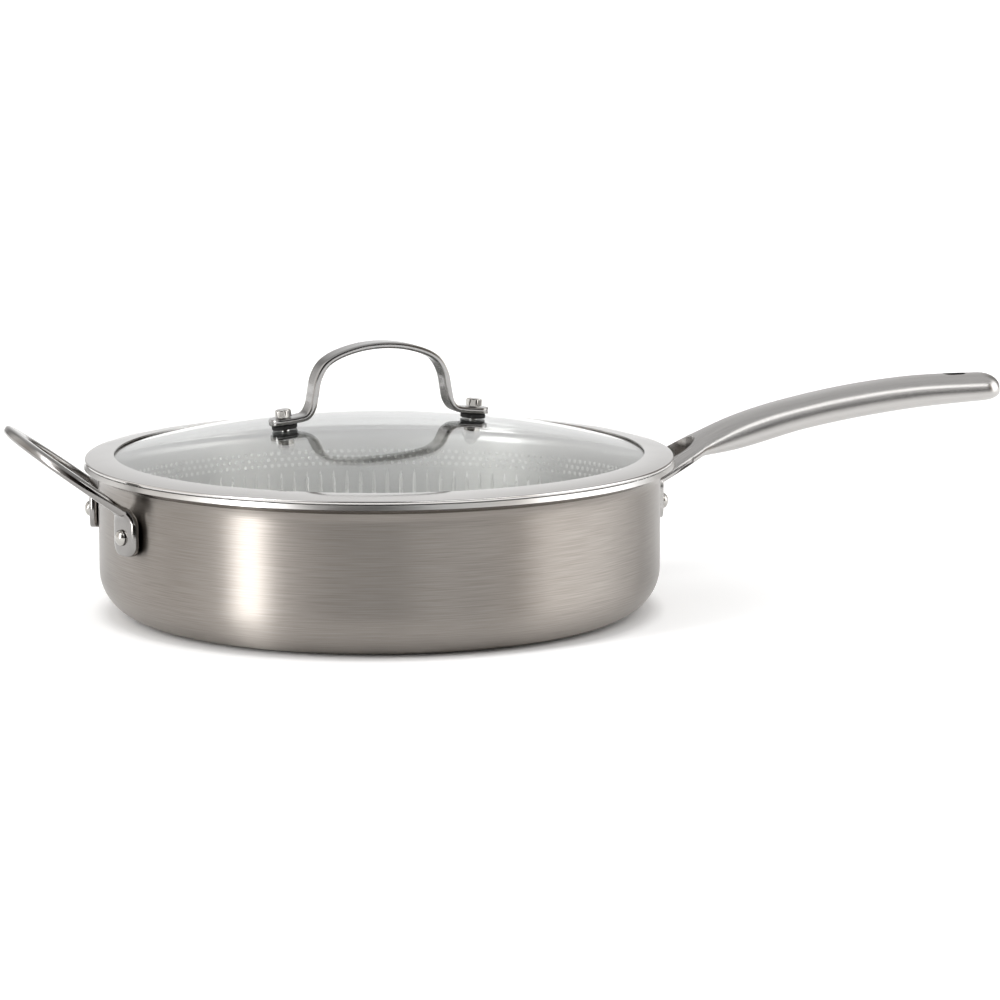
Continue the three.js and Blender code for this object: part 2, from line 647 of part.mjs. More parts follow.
function capNutBody() {
  const hexagon = turned([
    [0, nutFoot],
    [nutRadius - NUT_CHAMFER, nutFoot],
    [nutRadius, nutFoot + NUT_CHAMFER],
    [nutRadius, nutTop],
    [0, nutTop],
  ], HEX_SIDES);
  const domeWidth = (nutRadius - NUT_CHAMFER) * Math.cos(HALF_TURN / HEX_SIDES);
  const dome = new THREE.EllipseCurve(0, nutFoot, domeWidth, NUT_DOME, -QUARTER_TURN, 0).getPoints(CORNER_STEPS);
  const cap = turned([
    [0, nutFoot - NUT_DOME],
    ...dome.slice(1).map((point) => [point.x, point.y]),
    [domeWidth, nutFoot + NUT_CHAMFER],
    [0, nutFoot + NUT_CHAMFER],
  ], SMALL_SIDES);
  const thread = rod(screwBore, nutFoot - NUT_END_PLAY, nutTop + NUT_CHAMFER);
  return cut(solid(hexagon).add(solid(cap)), [solid(thread)]);
}

// Pan: the shell with both handles and their rivets
function pan() {
  const group = new THREE.Group();
  const helper = new THREE.Group();
  helper.rotation.z = HALF_TURN;
  helper.add(part('helper_handle', helperHandle, polished));
  group.add(part('pan_shell', panShell, brushed), part('long_handle', longHandle, brushed), helper);
  pairSides.forEach((side, i) => {
    const longRivet = part(`long_rivet_${i + 1}`, rivetBody(FLANGE_SHEET), bright);
    group.add(pointOutwards(longRivet, side * handleRivetAzimuth, handleRivetHeight));
    const helperRivet = part(`helper_rivet_${i + 1}`, rivetBody(HELPER_BAR), bright);
    helper.add(pointOutwards(helperRivet, side * HELPER_SPREAD, helperRivetHeight));
  });
  return group;
}

// Lid: glass in its rim, with the strap and its two screw stacks, turned as it was set down
function lid() {
  const group = new THREE.Group();
  const glassBody = cut(glassBlank(), screwBores(SCREW_SHANK + GLASS_BORE_PLAY));
  const strap = cut(strapBody(), screwBores(screwBore));
  group.rotation.z = LID_TURN;
  group.add(
    part('lid_rim', rimFold(), polished),
    part('lid_glass', glassBody, glass),
    part('lid_handle', strap, satin),
    ...screwAxes,
  );
  const seal = collar(SEAL_RADIUS, screwBore, sealTop - SEAL_SHEET, sealTop);
  const washer = collar(WASHER_RADIUS, screwBore, washerTop - WASHER_SHEET, washerTop);
  screwAxes.forEach((axis, i) => {
    axis.add(
      part(`lid_screw_${i + 1}`, screwBody(), bright),
      part(`foot_pad_${i + 1}`, padBody(), silicone),
      part(`inner_seal_${i + 1}`, solid(seal), silicone),
      part(`lid_washer_${i + 1}`, solid(washer), bright),
      part(`cap_nut_${i + 1}`, capNutBody(), bright),
    );
  });
  return group;
}

const sautePan = new THREE.Group();
sautePan.add(pan(), lid());

export default sautePan;
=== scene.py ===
import math

import bmesh
import bpy
import numpy as np
from mathutils import Matrix, Vector


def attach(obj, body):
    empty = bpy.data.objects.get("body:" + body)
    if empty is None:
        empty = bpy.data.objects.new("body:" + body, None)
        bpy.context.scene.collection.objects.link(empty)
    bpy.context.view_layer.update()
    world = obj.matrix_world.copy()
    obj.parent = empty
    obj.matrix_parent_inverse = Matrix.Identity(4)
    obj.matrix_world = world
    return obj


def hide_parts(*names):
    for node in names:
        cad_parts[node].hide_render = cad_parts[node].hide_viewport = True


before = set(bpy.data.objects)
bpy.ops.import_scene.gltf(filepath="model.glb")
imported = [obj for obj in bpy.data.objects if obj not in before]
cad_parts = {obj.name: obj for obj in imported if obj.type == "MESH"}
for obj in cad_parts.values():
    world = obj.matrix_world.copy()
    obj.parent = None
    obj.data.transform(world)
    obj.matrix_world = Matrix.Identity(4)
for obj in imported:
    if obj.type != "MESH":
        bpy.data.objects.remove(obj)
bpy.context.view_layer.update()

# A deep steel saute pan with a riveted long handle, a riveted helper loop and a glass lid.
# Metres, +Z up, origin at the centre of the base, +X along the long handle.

MM = 0.001
DEGREE = math.pi / 180
QUARTER_TURN = math.pi / 2
HALF_TURN = math.pi
WHOLE_TURN = 2 * math.pi
ALONG = Vector((1, 0, 0))
SIDEWAYS = Vector((0, 1, 0))
UPWARD = Vector((0, 0, 1))

# The map that brush lines follow, and the gap between pieces that meet
GRAIN = "grain"
GAP = 0.3 * MM

# How finely the pieces are drawn
WELD = 0.002 * MM
SHARP_EDGE = 38 * DEGREE
ROUND_SIDES = 192
SMALL_SIDES = 40
ARC_STEPS = 16
DENSE_STEPS = 720

# Pan body
WALL_RADIUS = 152 * MM
LIP_TOP = 82 * MM
SHEET = 2.6 * MM
BASE_FILLET = 24 * MM
LIP_FLARE = 8 * MM
LIP_ANGLE = 70 * DEGREE
LIP_TAIL = 2.4 * MM
# Share of the flare that is still brushed with the wall
LIP_BUFFED_FROM = 0.7
INNER_WALL = WALL_RADIUS - SHEET
WALL_STEPS = 12

# Raised pattern inside the wall; the rows of dots nest, so that neighbours stand in even triangles
DOT_PITCH = 4.2 * MM
DOT_ROWS = 3
DOT_ROW_SHIFT = 0.5
DOT_ROW_HEIGHT = DOT_PITCH * math.sin(60 * DEGREE)
DOT_LOW = 57.5 * MM
DOT_RADIUS = 1.3 * MM
DOT_HEIGHT = 0.45 * MM
DOT_SEGMENTS = 8
DOT_RINGS = 3
RIB_PITCH = 7.8 * MM
RIB_LOW = 27 * MM
RIB_TOP = 55 * MM
RIB_HALF_WIDTH = 1.5 * MM
RIB_HEIGHT = 0.3 * MM
RIB_SINK = 0.6 * MM
RIB_SEGMENTS = 8
RIB_RINGS = 10
RIB_POWER = 0.45

# Rivets
RIVET_SHANK = 1.9 * MM
RIVET_HEAD = 4.3 * MM
RIVET_DOME = 3.1 * MM
RIVET_BACK = 4 * MM
RIVET_BACK_DOME = 1.6 * MM

# Long handle: lines along it are (distance from the wall, height above the rivets or half width),
# in millimetres
HANDLE_REACH = 204.9 * MM
HANDLE_RIDGE = [(-4, 15), (19, 27.7), (48, 41.5), (90, 52.5), (147, 60.3), (205.5, 61.3)]
HANDLE_BELLY = [(20, 20.6), (48, 23.5), (90, 33.7), (147, 42.3), (205.5, 46.5)]
HANDLE_HALF_WIDTH = [(-4, 22), (18, 20.5), (33, 16.6), (53, 14), (103, 13.4), (205.5, 14.2)]
NECK_KEEL_RISE = 6 * MM
NECK_KEEL_SLOPE = 0.56
HANDLE_WAIST = 0.36
HANDLE_TOP_POWER = 2.3
HANDLE_BELLY_POWER = 2.3
HANDLE_END_ROUND = 12 * MM
HANDLE_END_POWER = 2.4
HANDLE_SKIN = 2 * MM
CAVITY_FROM_WALL = 45 * MM
CAVITY_FROM_TIP = 10.9 * MM
HANDLE_RIVET_HEIGHT = LIP_TOP - 26.5 * MM
HANDLE_RIVET_HALF_SPAN = 21 * MM
FORK_SLOT_HALF_WIDTH = 12.5 * MM
FORK_SLOT_END = 26 * MM
POCKET_START = 7 * MM
POCKET_LENGTH = 13 * MM
POCKET_DEPTH = 2.2 * MM
POCKET_HEIGHT = 3.4 * MM
POCKET_RISE = 12.5 * MM
FLANGE_HALF_WIDTH = 28 * MM
FLANGE_BELOW = 9.5 * MM
FLANGE_ABOVE = 15.5 * MM
FLANGE_SHEET = 2.6 * MM
FLANGE_CORNER = 8 * MM
HANG_HOLE_FROM_TIP = 25.9 * MM
HANG_HOLE_HALF_WIDTH = 4 * MM
HANG_HOLE_HALF_LENGTH = 6.5 * MM
HANDLE_RING = 96
HANDLE_STATIONS = 120
HOLLOW_STATIONS = 40
END_STATIONS = 24

# Helper loop: a flat bar bent to a spade foot at each end
HELPER_SPREAD = 18 * DEGREE
HELPER_BAR = 5.5 * MM
HELPER_GRIP_HALF = 6 * MM
HELPER_LEG_HALF = 7 * MM
HELPER_FOOT_HALF = 11 * MM
HELPER_FOOT_BELOW = 9.5 * MM
HELPER_FOOT_ROUND = 6 * MM
HELPER_RIVET_HEIGHT = LIP_TOP - 29 * MM
HELPER_BEND = 8 * MM
HELPER_BEND_ABOVE = 7.7 * MM
HELPER_SLOPE = 36 * DEGREE
HELPER_REACH = 45.6 * MM
HELPER_SHOULDER = 20 * MM
HELPER_FRONT = 40 * MM
# Share of the way from leg to front at which the bar has narrowed to the grip's width
HELPER_TAPER_END = 0.5
HELPER_POWER = 3.6
HELPER_RING = 48
HELPER_LOOP_STEPS = 44

# Lid: domed glass held in a folded steel rim
RIM_SHEET = 0.9 * MM
RIM_RADIUS = WALL_RADIUS + 7.2 * MM
RIM_INNER_RADIUS = RIM_RADIUS - 15.9 * MM
RIM_TOP = LIP_TOP + 4 * MM
RIM_CROWN = 0.35 * MM
RIM_HEM = 1 * MM
RIM_BEND = 0.7 * MM
SKIRT_RADIUS = INNER_WALL - 0.9 * MM
GLASS_SHEET = 4 * MM
GLASS_RISE = 18.6 * MM
GLASS_RADIUS = SKIRT_RADIUS - RIM_SHEET - GAP
GLASS_STEPS = 40
DOME_RADIUS = (RIM_INNER_RADIUS ** 2 + GLASS_RISE ** 2) / (2 * GLASS_RISE)
DOME_CENTRE = RIM_TOP - RIM_SHEET - GAP + GLASS_RISE - DOME_RADIUS
# The seals keep clear of the dome by its depth over a chord of this length.
SEAL_CHORD = GLASS_RADIUS / 5
DOME_SAG = SEAL_CHORD ** 2 / (8 * DOME_RADIUS)

# Lid handle: a strap bent to an arch; its line is (distance in from the screw, height above the foot),
# in millimetres, and its direction is read over a short step
LID_TURN = 8 * DEGREE
SCREW_HALF_SPAN = 54.5 * MM
SCREW_LEAN = math.asin(SCREW_HALF_SPAN / DOME_RADIUS)
STRAP_SHEET = 3.5 * MM
STRAP_STEP = STRAP_SHEET / 4
STRAP_HALF_WIDTH = 6 * MM
STRAP_POWER = 7
STRAP_TIP = 8 * MM
STRAP_TIP_ROUND = 5 * MM
STRAP_FLAT = 6.5 * MM
STRAP_ARCH = [(11.4, 2), (14.4, 6), (16, 13), (17.7, 21.5), (21.5, 28.5), (27.2, 32.7), (40.3, 37)]
STRAP_CROWN = 38.4 * MM
STRAP_RING = 40
STRAP_STEPS = 150

# Screw stack, as heights on the screw's own axis from the glass's upper face
PAD_SHEET = 2.4 * MM
PAD_HALF_WIDTH = 5 * MM
PAD_HALF_LENGTH = 7 * MM
SCREW_SHANK = 2.5 * MM
SCREW_HEAD = 4.4 * MM
SCREW_HEAD_HEIGHT = 4 * MM
SCREW_CHAMFER = 0.6 * MM
# The round top of a screw head, as a share of its width across the flats
SCREW_CROWN = 0.95
SEAL_RADIUS = 8 * MM
SEAL_SHEET = 2 * MM
WASHER_RADIUS = 6.5 * MM
WASHER_SHEET = 1 * MM
BORE = SCREW_SHANK + GAP
NUT_WALL = 2 * MM
NUT_RADIUS = BORE + NUT_WALL
NUT_HEIGHT = 4 * MM
NUT_DOME = 3.6 * MM
STRAP_BASE = GAP + PAD_SHEET + GAP
HEAD_BASE = STRAP_BASE + STRAP_SHEET + GAP
HEAD_TOP = HEAD_BASE + SCREW_HEAD_HEIGHT
SEAL_TOP = -GLASS_SHEET - GAP - DOME_SAG
WASHER_TOP = SEAL_TOP - SEAL_SHEET - GAP
NUT_TOP = WASHER_TOP - WASHER_SHEET - GAP
NUT_FOOT = NUT_TOP - NUT_HEIGHT
EDGE_ROUND = 0.4 * MM
HEX_SIDE = WHOLE_TURN / 6
HEX_HALF = HEX_SIDE / 2
STACK_RING = 72
STACK_TURNS = np.linspace(0, WHOLE_TURN, STACK_RING, endpoint=False)

# Camera, with its lens and sensor in millimetres
CAMERA_PLACE = (-506.5 * MM, -2141.9 * MM, 420.4 * MM)
CAMERA_PITCH = 9.333 * DEGREE
CAMERA_TURN = 15 * DEGREE
TOWARDS_CAMERA = -QUARTER_TURN - CAMERA_TURN
CAMERA_LENS = 147.97
SENSOR = 36


# Nodes


def add(tree, kind, inputs=None, **settings):
    """Adds a node. Its inputs, by name or number, take a value, an output, or a node for its first output."""
    node = tree.nodes.new(kind)
    for key, value in settings.items():
        setattr(node, key, value)
    for key, value in (inputs or {}).items():
        if isinstance(value, bpy.types.Node):
            value = value.outputs[0]
        if isinstance(value, bpy.types.NodeSocket):
            tree.links.new(value, node.inputs[key])
        else:
            node.inputs[key].default_value = value
    return node


def calc(tree, operation, *values):
    """Adds a math node that works on numbers, outputs or nodes."""
    return add(tree, "ShaderNodeMath", dict(enumerate(values)), operation=operation)


def remapped(tree, value, span, result=(0.0, 1.0)):
    """Adds a node that maps one span of values to another and keeps within it."""
    return add(tree, "ShaderNodeMapRange", {
        "Value": value, "From Min": span[0], "From Max": span[1], "To Min": result[0], "To Max": result[1],
    })


def blend(tree, share, low, high):
    """The colour between two others at a share of the way."""
    mix = add(tree, "ShaderNodeMix", {"Factor": share, "A": low, "B": high}, data_type="RGBA")
    return mix.outputs["Result"]


def noise(tree, size, detail):
    """Adds noise that is fixed to the piece, with patches of about the given size."""
    place = add(tree, "ShaderNodeTexCoord").outputs["Object"]
    return add(tree, "ShaderNodeTexNoise", {"Vector": place, "Scale": 1 / size, "Detail": detail})


def colour(code):
    """Linear RGBA from an sRGB hex code."""
    parts = [int(code[i:i + 2], 16) / 255 for i in (1, 3, 5)]
    return [p / 12.92 if p <= 0.04045 else ((p + 0.055) / 1.055) ** 2.4 for p in parts] + [1]


def fill_ramp(ramp, stops):
    """Sets the stops of a colour ramp node from (position, linear colour) pairs."""
    elements = ramp.color_ramp.elements
    while len(elements) < len(stops):
        elements.new(1.0)
    for element, (position, tint) in zip(elements, stops):
        element.position = position
        element.color = tint


# Meshes


def finish_mesh(mesh):
    """Shades a mesh smooth, with its real edges kept sharp."""
    mesh.polygons.foreach_set("use_smooth", [True] * len(mesh.polygons))
    mesh.set_sharp_from_angle(angle=SHARP_EDGE)


def linked(name, data):
    """An object for a mesh, lamp or lens, put in the scene."""
    piece = bpy.data.objects.new(name, data)
    bpy.context.scene.collection.objects.link(piece)
    return piece


def face_outwards(mesh):
    """Turns every face of a closed mesh outwards."""
    work = bmesh.new()
    work.from_mesh(mesh)
    bmesh.ops.recalc_face_normals(work, faces=work.faces)
    work.to_mesh(mesh)
    work.free()


def plain_mesh(piece):
    """Replaces a piece's mesh by what its modifiers make of it, and takes the modifiers off."""
    graph = bpy.context.evaluated_depsgraph_get()
    mesh = bpy.data.meshes.new_from_object(piece.evaluated_get(graph))
    piece.modifiers.clear()
    piece.data = mesh
    finish_mesh(mesh)
    return piece


def run_tree(piece, tree, values):
    """Runs a geometry tree on a piece with its inputs set by name, and leaves a plain mesh."""
    step = piece.modifiers.new(tree.name, "NODES")
    step.node_group = tree
    for socket in tree.interface.items_tree:
        if socket.in_out == "INPUT" and socket.name in values:
            step[socket.identifier] = values[socket.name]
    return plain_mesh(piece)


def combined(piece, others, operation):
    """Joins other bodies to a piece or cuts them out of it, and uses them up."""
    for other in others:
        step = piece.modifiers.new(operation, "BOOLEAN")
        step.operation = operation
        step.solver = "EXACT"
        step.object = other
    plain_mesh(piece)
    for other in others:
        bpy.data.objects.remove(other)
    return piece


def running_length(points):
    """The distance covered along a line, at each of its points."""
    return np.concatenate([[0], np.cumsum(np.linalg.norm(np.diff(points, axis=0), axis=1))])


def skinned(name, rings, material):
    """A closed body over a row of rings; the grain map's u runs along the row and its v round the rings."""
    rings = np.asarray(rings)
    rows, count = rings.shape[:2]
    middles = rings.mean(axis=1)
    along = running_length(middles)
    around = np.linalg.norm(np.diff(rings[rows // 2], axis=0), axis=1).sum() / (count - 1)
    points = np.concatenate([rings.reshape(-1, 3), middles[:1], middles[-1:]])
    first, last = rows * count, rows * count + 1
    faces = []
    grain = []
    for k in range(count):
        after = (k + 1) % count
        v, next_v = k * around, (k + 1) * around
        for row in range(rows - 1):
            low, high = row * count, (row + 1) * count
            faces.append((low + k, low + after, high + after, high + k))
            u, next_u = along[row], along[row + 1]
            grain += [(u, v), (u, next_v), (next_u, next_v), (next_u, v)]
        end = (rows - 1) * count
        faces += [(first, after, k), (last, end + k, end + after)]
        grain += [(0, v), (0, next_v), (0, v), (along[-1], v), (along[-1], v), (along[-1], next_v)]
    mesh = bpy.data.meshes.new(name)
    mesh.from_pydata(points.tolist(), [], faces)
    mesh.uv_layers.new(name=GRAIN).data.foreach_set("uv", np.ravel(grain))
    mesh.materials.append(material)
    face_outwards(mesh)
    finish_mesh(mesh)
    return linked(name, mesh)


def prism(name, outline, low, high, material):
    """A straight body over a flat outline of (x, y) points."""
    rings = [[(x, y, height) for x, y in outline] for height in (low, high)]
    return skinned(name, rings, material)


def superellipse(half, above, below, power_above, power_below, count):
    """Evenly spaced (across, up) points of a section with square shoulders."""
    turn = np.linspace(0, WHOLE_TURN, DENSE_STEPS + 1)
    cosine, sine = np.cos(turn), np.sin(turn)
    power = np.where(sine >= 0, power_above, power_below)
    across = half * np.sign(cosine) * np.abs(cosine) ** (2 / power)
    up = np.where(sine >= 0, above, below) * np.sign(sine) * np.abs(sine) ** (2 / power)
    length = np.concatenate([[0], np.cumsum(np.hypot(np.diff(across), np.diff(up)))])
    places = np.linspace(0, length[-1], count, endpoint=False)
    return np.interp(places, length, across), np.interp(places, length, up)


def section(centre, across, up, sizes, powers, count):
    """A ring of points in space: sizes are half width, height above and height below."""
    sides, rises = superellipse(*sizes, *powers, count)
    return np.asarray(centre) + np.outer(sides, across) + np.outer(rises, up)


def arc(centre, radius, start, stop, steps=ARC_STEPS, squash=1):
    """Points on an arc, ends included; squash scales its height."""
    turns = np.linspace(start, stop, steps + 1)
    return [(centre[0] + radius * math.cos(a), centre[1] + squash * radius * math.sin(a)) for a in turns]


def shifted(line, thickness):
    """A flat line moved sideways, to its left as it runs."""
    line = np.asarray(line)
    step = np.diff(line, axis=0)
    normal = np.column_stack([-step[:, 1], step[:, 0]]) / np.linalg.norm(step, axis=1)[:, None]
    before = np.concatenate([normal[:1], normal])
    after = np.concatenate([normal, normal[-1:]])
    reach = thickness / (1 + (before * after).sum(axis=1))
    return (line + (before + after) * reach[:, None]).tolist()


def through(stations):
    """A smooth line through a few (place, value) stations given in millimetres."""
    places, values = np.asarray(stations, float).T * MM

    def line(place):
        place = min(max(place, places[0]), places[-1])
        i = min(int(np.searchsorted(places, place, side="right")), len(places) - 1)
        start, stop = places[i - 1], places[i]
        half = (stop - start) / 2
        before, value_before = (places[i - 2], values[i - 2]) if i > 1 else (stop, values[i])
        after, value_after = (places[i + 1], values[i + 1]) if i + 1 < len(places) else (start, values[i - 1])
        pull, push = half / (start - before), half / (after - stop)
        p = (place - start) / (stop - start)
        weights = (
            -pull * p ** 3 + 2 * pull * p ** 2 - pull * p,
            (1 + pull) * p ** 3 - (1.5 + 2 * pull) * p ** 2 + (pull - 0.5) * p + 1,
            -(1 + push) * p ** 3 + (1.5 + push) * p ** 2 + 0.5 * p,
            push * p ** 3 - push * p ** 2,
        )
        return float(np.dot(weights, (value_before, values[i - 1], values[i], value_after)))

    return line


def smooth_path(points):
    """A dense centripetal curve through points in space."""
    points = [Vector(p) for p in points]
    points = [2 * points[0] - points[1], *points, 2 * points[-1] - points[-2]]
    path = []
    for a, b, c, d in zip(points, points[1:], points[2:], points[3:]):
        first, middle, last = (math.sqrt((q - p).length) for p, q in ((a, b), (b, c), (c, d)))
        leave = ((b - a) / first - (c - a) / (first + middle) + (c - b) / middle) * middle
        arrive = ((c - b) / middle - (d - b) / (middle + last) + (d - c) / last) * middle
        for p in np.linspace(0, 1, ARC_STEPS, endpoint=False):
            path.append(
                b * (2 * p ** 3 - 3 * p ** 2 + 1) + leave * (p ** 3 - 2 * p ** 2 + p)
                + c * (3 * p ** 2 - 2 * p ** 3) + arrive * (p ** 3 - p ** 2)
            )
    return np.array([*path, points[-2]])


# Geometry trees

# Materials of a turned piece, one for each line of its profile
BANDS = ("First Band", "Second Band", "Third Band", "Fourth Band")
# A face between two lines averages their numbers to a half and belongs to the first line.
# Past this value it belongs to the second.
BAND_EDGE = 0.6
# How far a grid of unit size reaches from its middle
GRID_HALF = 0.5


def new_tree(name, inputs):
    """An empty geometry tree with named inputs."""
    tree = bpy.data.node_groups.new(name, "GeometryNodeTree")
    tree.interface.new_socket("Geometry", in_out="INPUT", socket_type="NodeSocketGeometry")
    for label, kind in inputs:
        tree.interface.new_socket(label, in_out="INPUT", socket_type="NodeSocket" + kind)
    tree.interface.new_socket("Geometry", in_out="OUTPUT", socket_type="NodeSocketGeometry")
    return tree, add(tree, "NodeGroupInput").outputs


def lathe_tree():
    """Turns a row of profile points about Z: a grid is wound round the axis, one row per profile point."""
    tree, given = new_tree("turned_about_z", [
        ("Sides", "Int"), ("Points", "Int"), ("Girth", "Float"), ("Weld", "Float"),
        *((label, "Material") for label in BANDS),
    ])
    columns = calc(tree, "ADD", given["Sides"], 1.0)
    grid = add(tree, "GeometryNodeMeshGrid", {"Vertices X": columns, "Vertices Y": given["Points"]})
    place = add(tree, "ShaderNodeSeparateXYZ", {0: add(tree, "GeometryNodeInputPosition")})
    share = calc(tree, "ADD", place.outputs["X"], GRID_HALF)
    turn = calc(tree, "MULTIPLY", share, WHOLE_TURN)
    row = calc(tree, "ADD", place.outputs["Y"], GRID_HALF)
    last = calc(tree, "SUBTRACT", given["Points"], 1.0)
    row = calc(tree, "ROUND", calc(tree, "MULTIPLY", row, last))
    spot, along, band = (
        add(tree, "GeometryNodeSampleIndex", {
            "Geometry": given["Geometry"], "Value": field, "Index": row,
        }, data_type=kind)
        for field, kind in (
            (add(tree, "GeometryNodeInputPosition"), "FLOAT_VECTOR"),
            (add(tree, "GeometryNodeInputNamedAttribute", {"Name": "along"}, data_type="FLOAT"), "FLOAT"),
            (add(tree, "GeometryNodeInputNamedAttribute", {"Name": "band"}, data_type="INT"), "INT"),
        )
    )
    girth = calc(tree, "MULTIPLY", share, given["Girth"])
    grain = add(tree, "ShaderNodeCombineXYZ", {0: girth, 1: along})
    body = add(tree, "GeometryNodeStoreNamedAttribute", {
        "Geometry": grid, "Name": GRAIN, "Value": grain,
    }, data_type="FLOAT2", domain="CORNER")
    body = add(tree, "GeometryNodeStoreNamedAttribute", {
        "Geometry": body, "Name": "band", "Value": band,
    }, data_type="INT", domain="POINT")
    flat = add(tree, "ShaderNodeSeparateXYZ", {0: spot})
    x = calc(tree, "MULTIPLY", flat.outputs["X"], calc(tree, "COSINE", turn))
    y = calc(tree, "MULTIPLY", flat.outputs["X"], calc(tree, "SINE", turn))
    wound = add(tree, "ShaderNodeCombineXYZ", {0: x, 1: y, 2: flat.outputs["Z"]})
    body = add(tree, "GeometryNodeSetPosition", {"Geometry": body, "Position": wound})
    number = add(tree, "GeometryNodeInputNamedAttribute", {"Name": "band"}, data_type="INT")
    body = add(tree, "GeometryNodeMergeByDistance", {"Geometry": body, "Distance": given["Weld"]})
    body = add(tree, "GeometryNodeRealizeInstances", {0: body})
    body = add(tree, "GeometryNodeSetMaterial", {"Geometry": body, "Material": given[BANDS[0]]})
    for before, label in enumerate(BANDS[1:]):
        chosen = calc(tree, "GREATER_THAN", number, before + BAND_EDGE)
        body = add(tree, "GeometryNodeSetMaterial", {
            "Geometry": body, "Selection": chosen, "Material": given[label],
        })
    add(tree, "NodeGroupOutput", {0: body})
    return tree


def copies_tree():
    """Sets copies of one piece round Z in rows, with every other row shifted by a share of the pitch."""
    tree, given = new_tree("copies_round_z", [
        ("Piece", "Object"), ("Columns", "Int"), ("Rows", "Int"), ("First Angle", "Float"),
        ("Pitch Angle", "Float"), ("Row Shift", "Float"), ("Row Height", "Float"), ("Material", "Material"),
    ])
    count = calc(tree, "MULTIPLY", given["Columns"], given["Rows"])
    index = add(tree, "GeometryNodeInputIndex")
    row = calc(tree, "FLOOR", calc(tree, "DIVIDE", index, given["Columns"]))
    odd = calc(tree, "MODULO", row, 2.0)
    shift = calc(tree, "MULTIPLY_ADD", odd, given["Row Shift"], index)
    turn = calc(tree, "MULTIPLY_ADD", shift, given["Pitch Angle"], given["First Angle"])
    height = calc(tree, "MULTIPLY", row, given["Row Height"])
    place = add(tree, "ShaderNodeCombineXYZ", {2: height})
    points = add(tree, "GeometryNodePoints", {"Count": count, "Position": place})
    piece = add(tree, "GeometryNodeObjectInfo", {"Object": given["Piece"]})
    facing = add(tree, "FunctionNodeEulerToRotation", {0: add(tree, "ShaderNodeCombineXYZ", {2: turn})})
    copies = add(tree, "GeometryNodeInstanceOnPoints", {
        "Points": points, "Instance": piece.outputs["Geometry"], "Rotation": facing,
    })
    body = add(tree, "GeometryNodeRealizeInstances", {0: copies})
    body = add(tree, "GeometryNodeSetMaterial", {"Geometry": body, "Material": given["Material"]})
    add(tree, "NodeGroupOutput", {0: body})
    return tree


LATHE = lathe_tree()
COPIES = copies_tree()


def turned(name, lines, materials, sides=ROUND_SIDES):
    """A body turned from lines of (radius, height) points that run anticlockwise, one for each material."""
    profile = np.array([point for line in lines for point in line])
    mesh = bpy.data.meshes.new(name)
    mesh.from_pydata([(radius, 0, height) for radius, height in profile], [], [])
    mesh.attributes.new("along", "FLOAT", "POINT").data.foreach_set("value", running_length(profile))
    bands = [number for number, line in enumerate(lines) for _ in line]
    mesh.attributes.new("band", "INT", "POINT").data.foreach_set("value", bands)
    piece = linked(name, mesh)
    slots = list(materials) + [materials[-1]] * (len(BANDS) - len(materials))
    girth = WHOLE_TURN * float(profile[:, 0].max())
    run_tree(piece, LATHE, {
        "Sides": sides, "Points": len(profile), "Girth": girth, "Weld": WELD, **dict(zip(BANDS, slots)),
    })
    face_outwards(piece.data)
    return piece


def copied(name, pattern, material, columns, first_angle, pitch_angle, rows=1, row_shift=0.0, row_height=0.0):
    """Copies of a pattern piece round the axis as one piece; the pattern is used up."""
    piece = linked(name, bpy.data.meshes.new(name))
    run_tree(piece, COPIES, {
        "Piece": pattern, "Columns": columns, "Rows": rows, "First Angle": first_angle,
        "Pitch Angle": pitch_angle, "Row Shift": row_shift, "Row Height": row_height, "Material": material,
    })
    bpy.data.objects.remove(pattern)
    return piece


def placed(piece, matrix):
    """Moves a piece's mesh, so that the object itself stays at the origin."""
    piece.data.transform(matrix)
    return piece


def stored(piece, body, slot, *nodes):
    """Hands a piece to the frame: the body it rides on, its material slot, which is not used, and the nodes
    it stands for.
    """
    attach(piece, body)
    if nodes:
        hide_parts(*nodes)


# Materials

# A highlight is stretched across the grain, a quarter of a turn from it.
ACROSS_GRAIN = 0.25
# The stretches of its range that noise mostly keeps to
STREAK_NOISE = (0.3, 0.7)
CLOUD_NOISE = (0.35, 0.7)
# Brush lines are a little smoother and rougher than the finish, in shares of its roughness.
STREAK_CHANGE = (0.93, 1.07)
# Handling leaves patches about 40 mm across where the sheen of a brushed finish is a little duller.
PATCH_SIZE = 40 * MM
PATCH_CHANGE = (-0.01, 0.015)
# Buffing and fingers leave faint clouds about 25 mm across in a polish, in shares of its roughness.
CLOUD_SIZE = 25 * MM
CLOUD_CHANGE = (0.7, 1.4)
# Layers of the bonded sheet, each from a share of the edge's height; the lower steel skin's dark colour is
# painted shade
SHEET_LAYERS_AND_SHADE = ((0.0, "#4A423A"), (0.35, "#7A5638"), (0.8, "#8A8078"))
# The real tooth of moulded silicone is about 0.1 mm wide; it is drawn 0.8 mm wide so that it shows.
TOOTH_SIZE = 0.8 * MM
TOOTH_DEPTH = 0.05 * MM


def new_material(name):
    """A material with an empty tree."""
    material = bpy.data.materials.new(name)
    material.use_nodes = True
    material.node_tree.nodes.clear()
    return material, material.node_tree


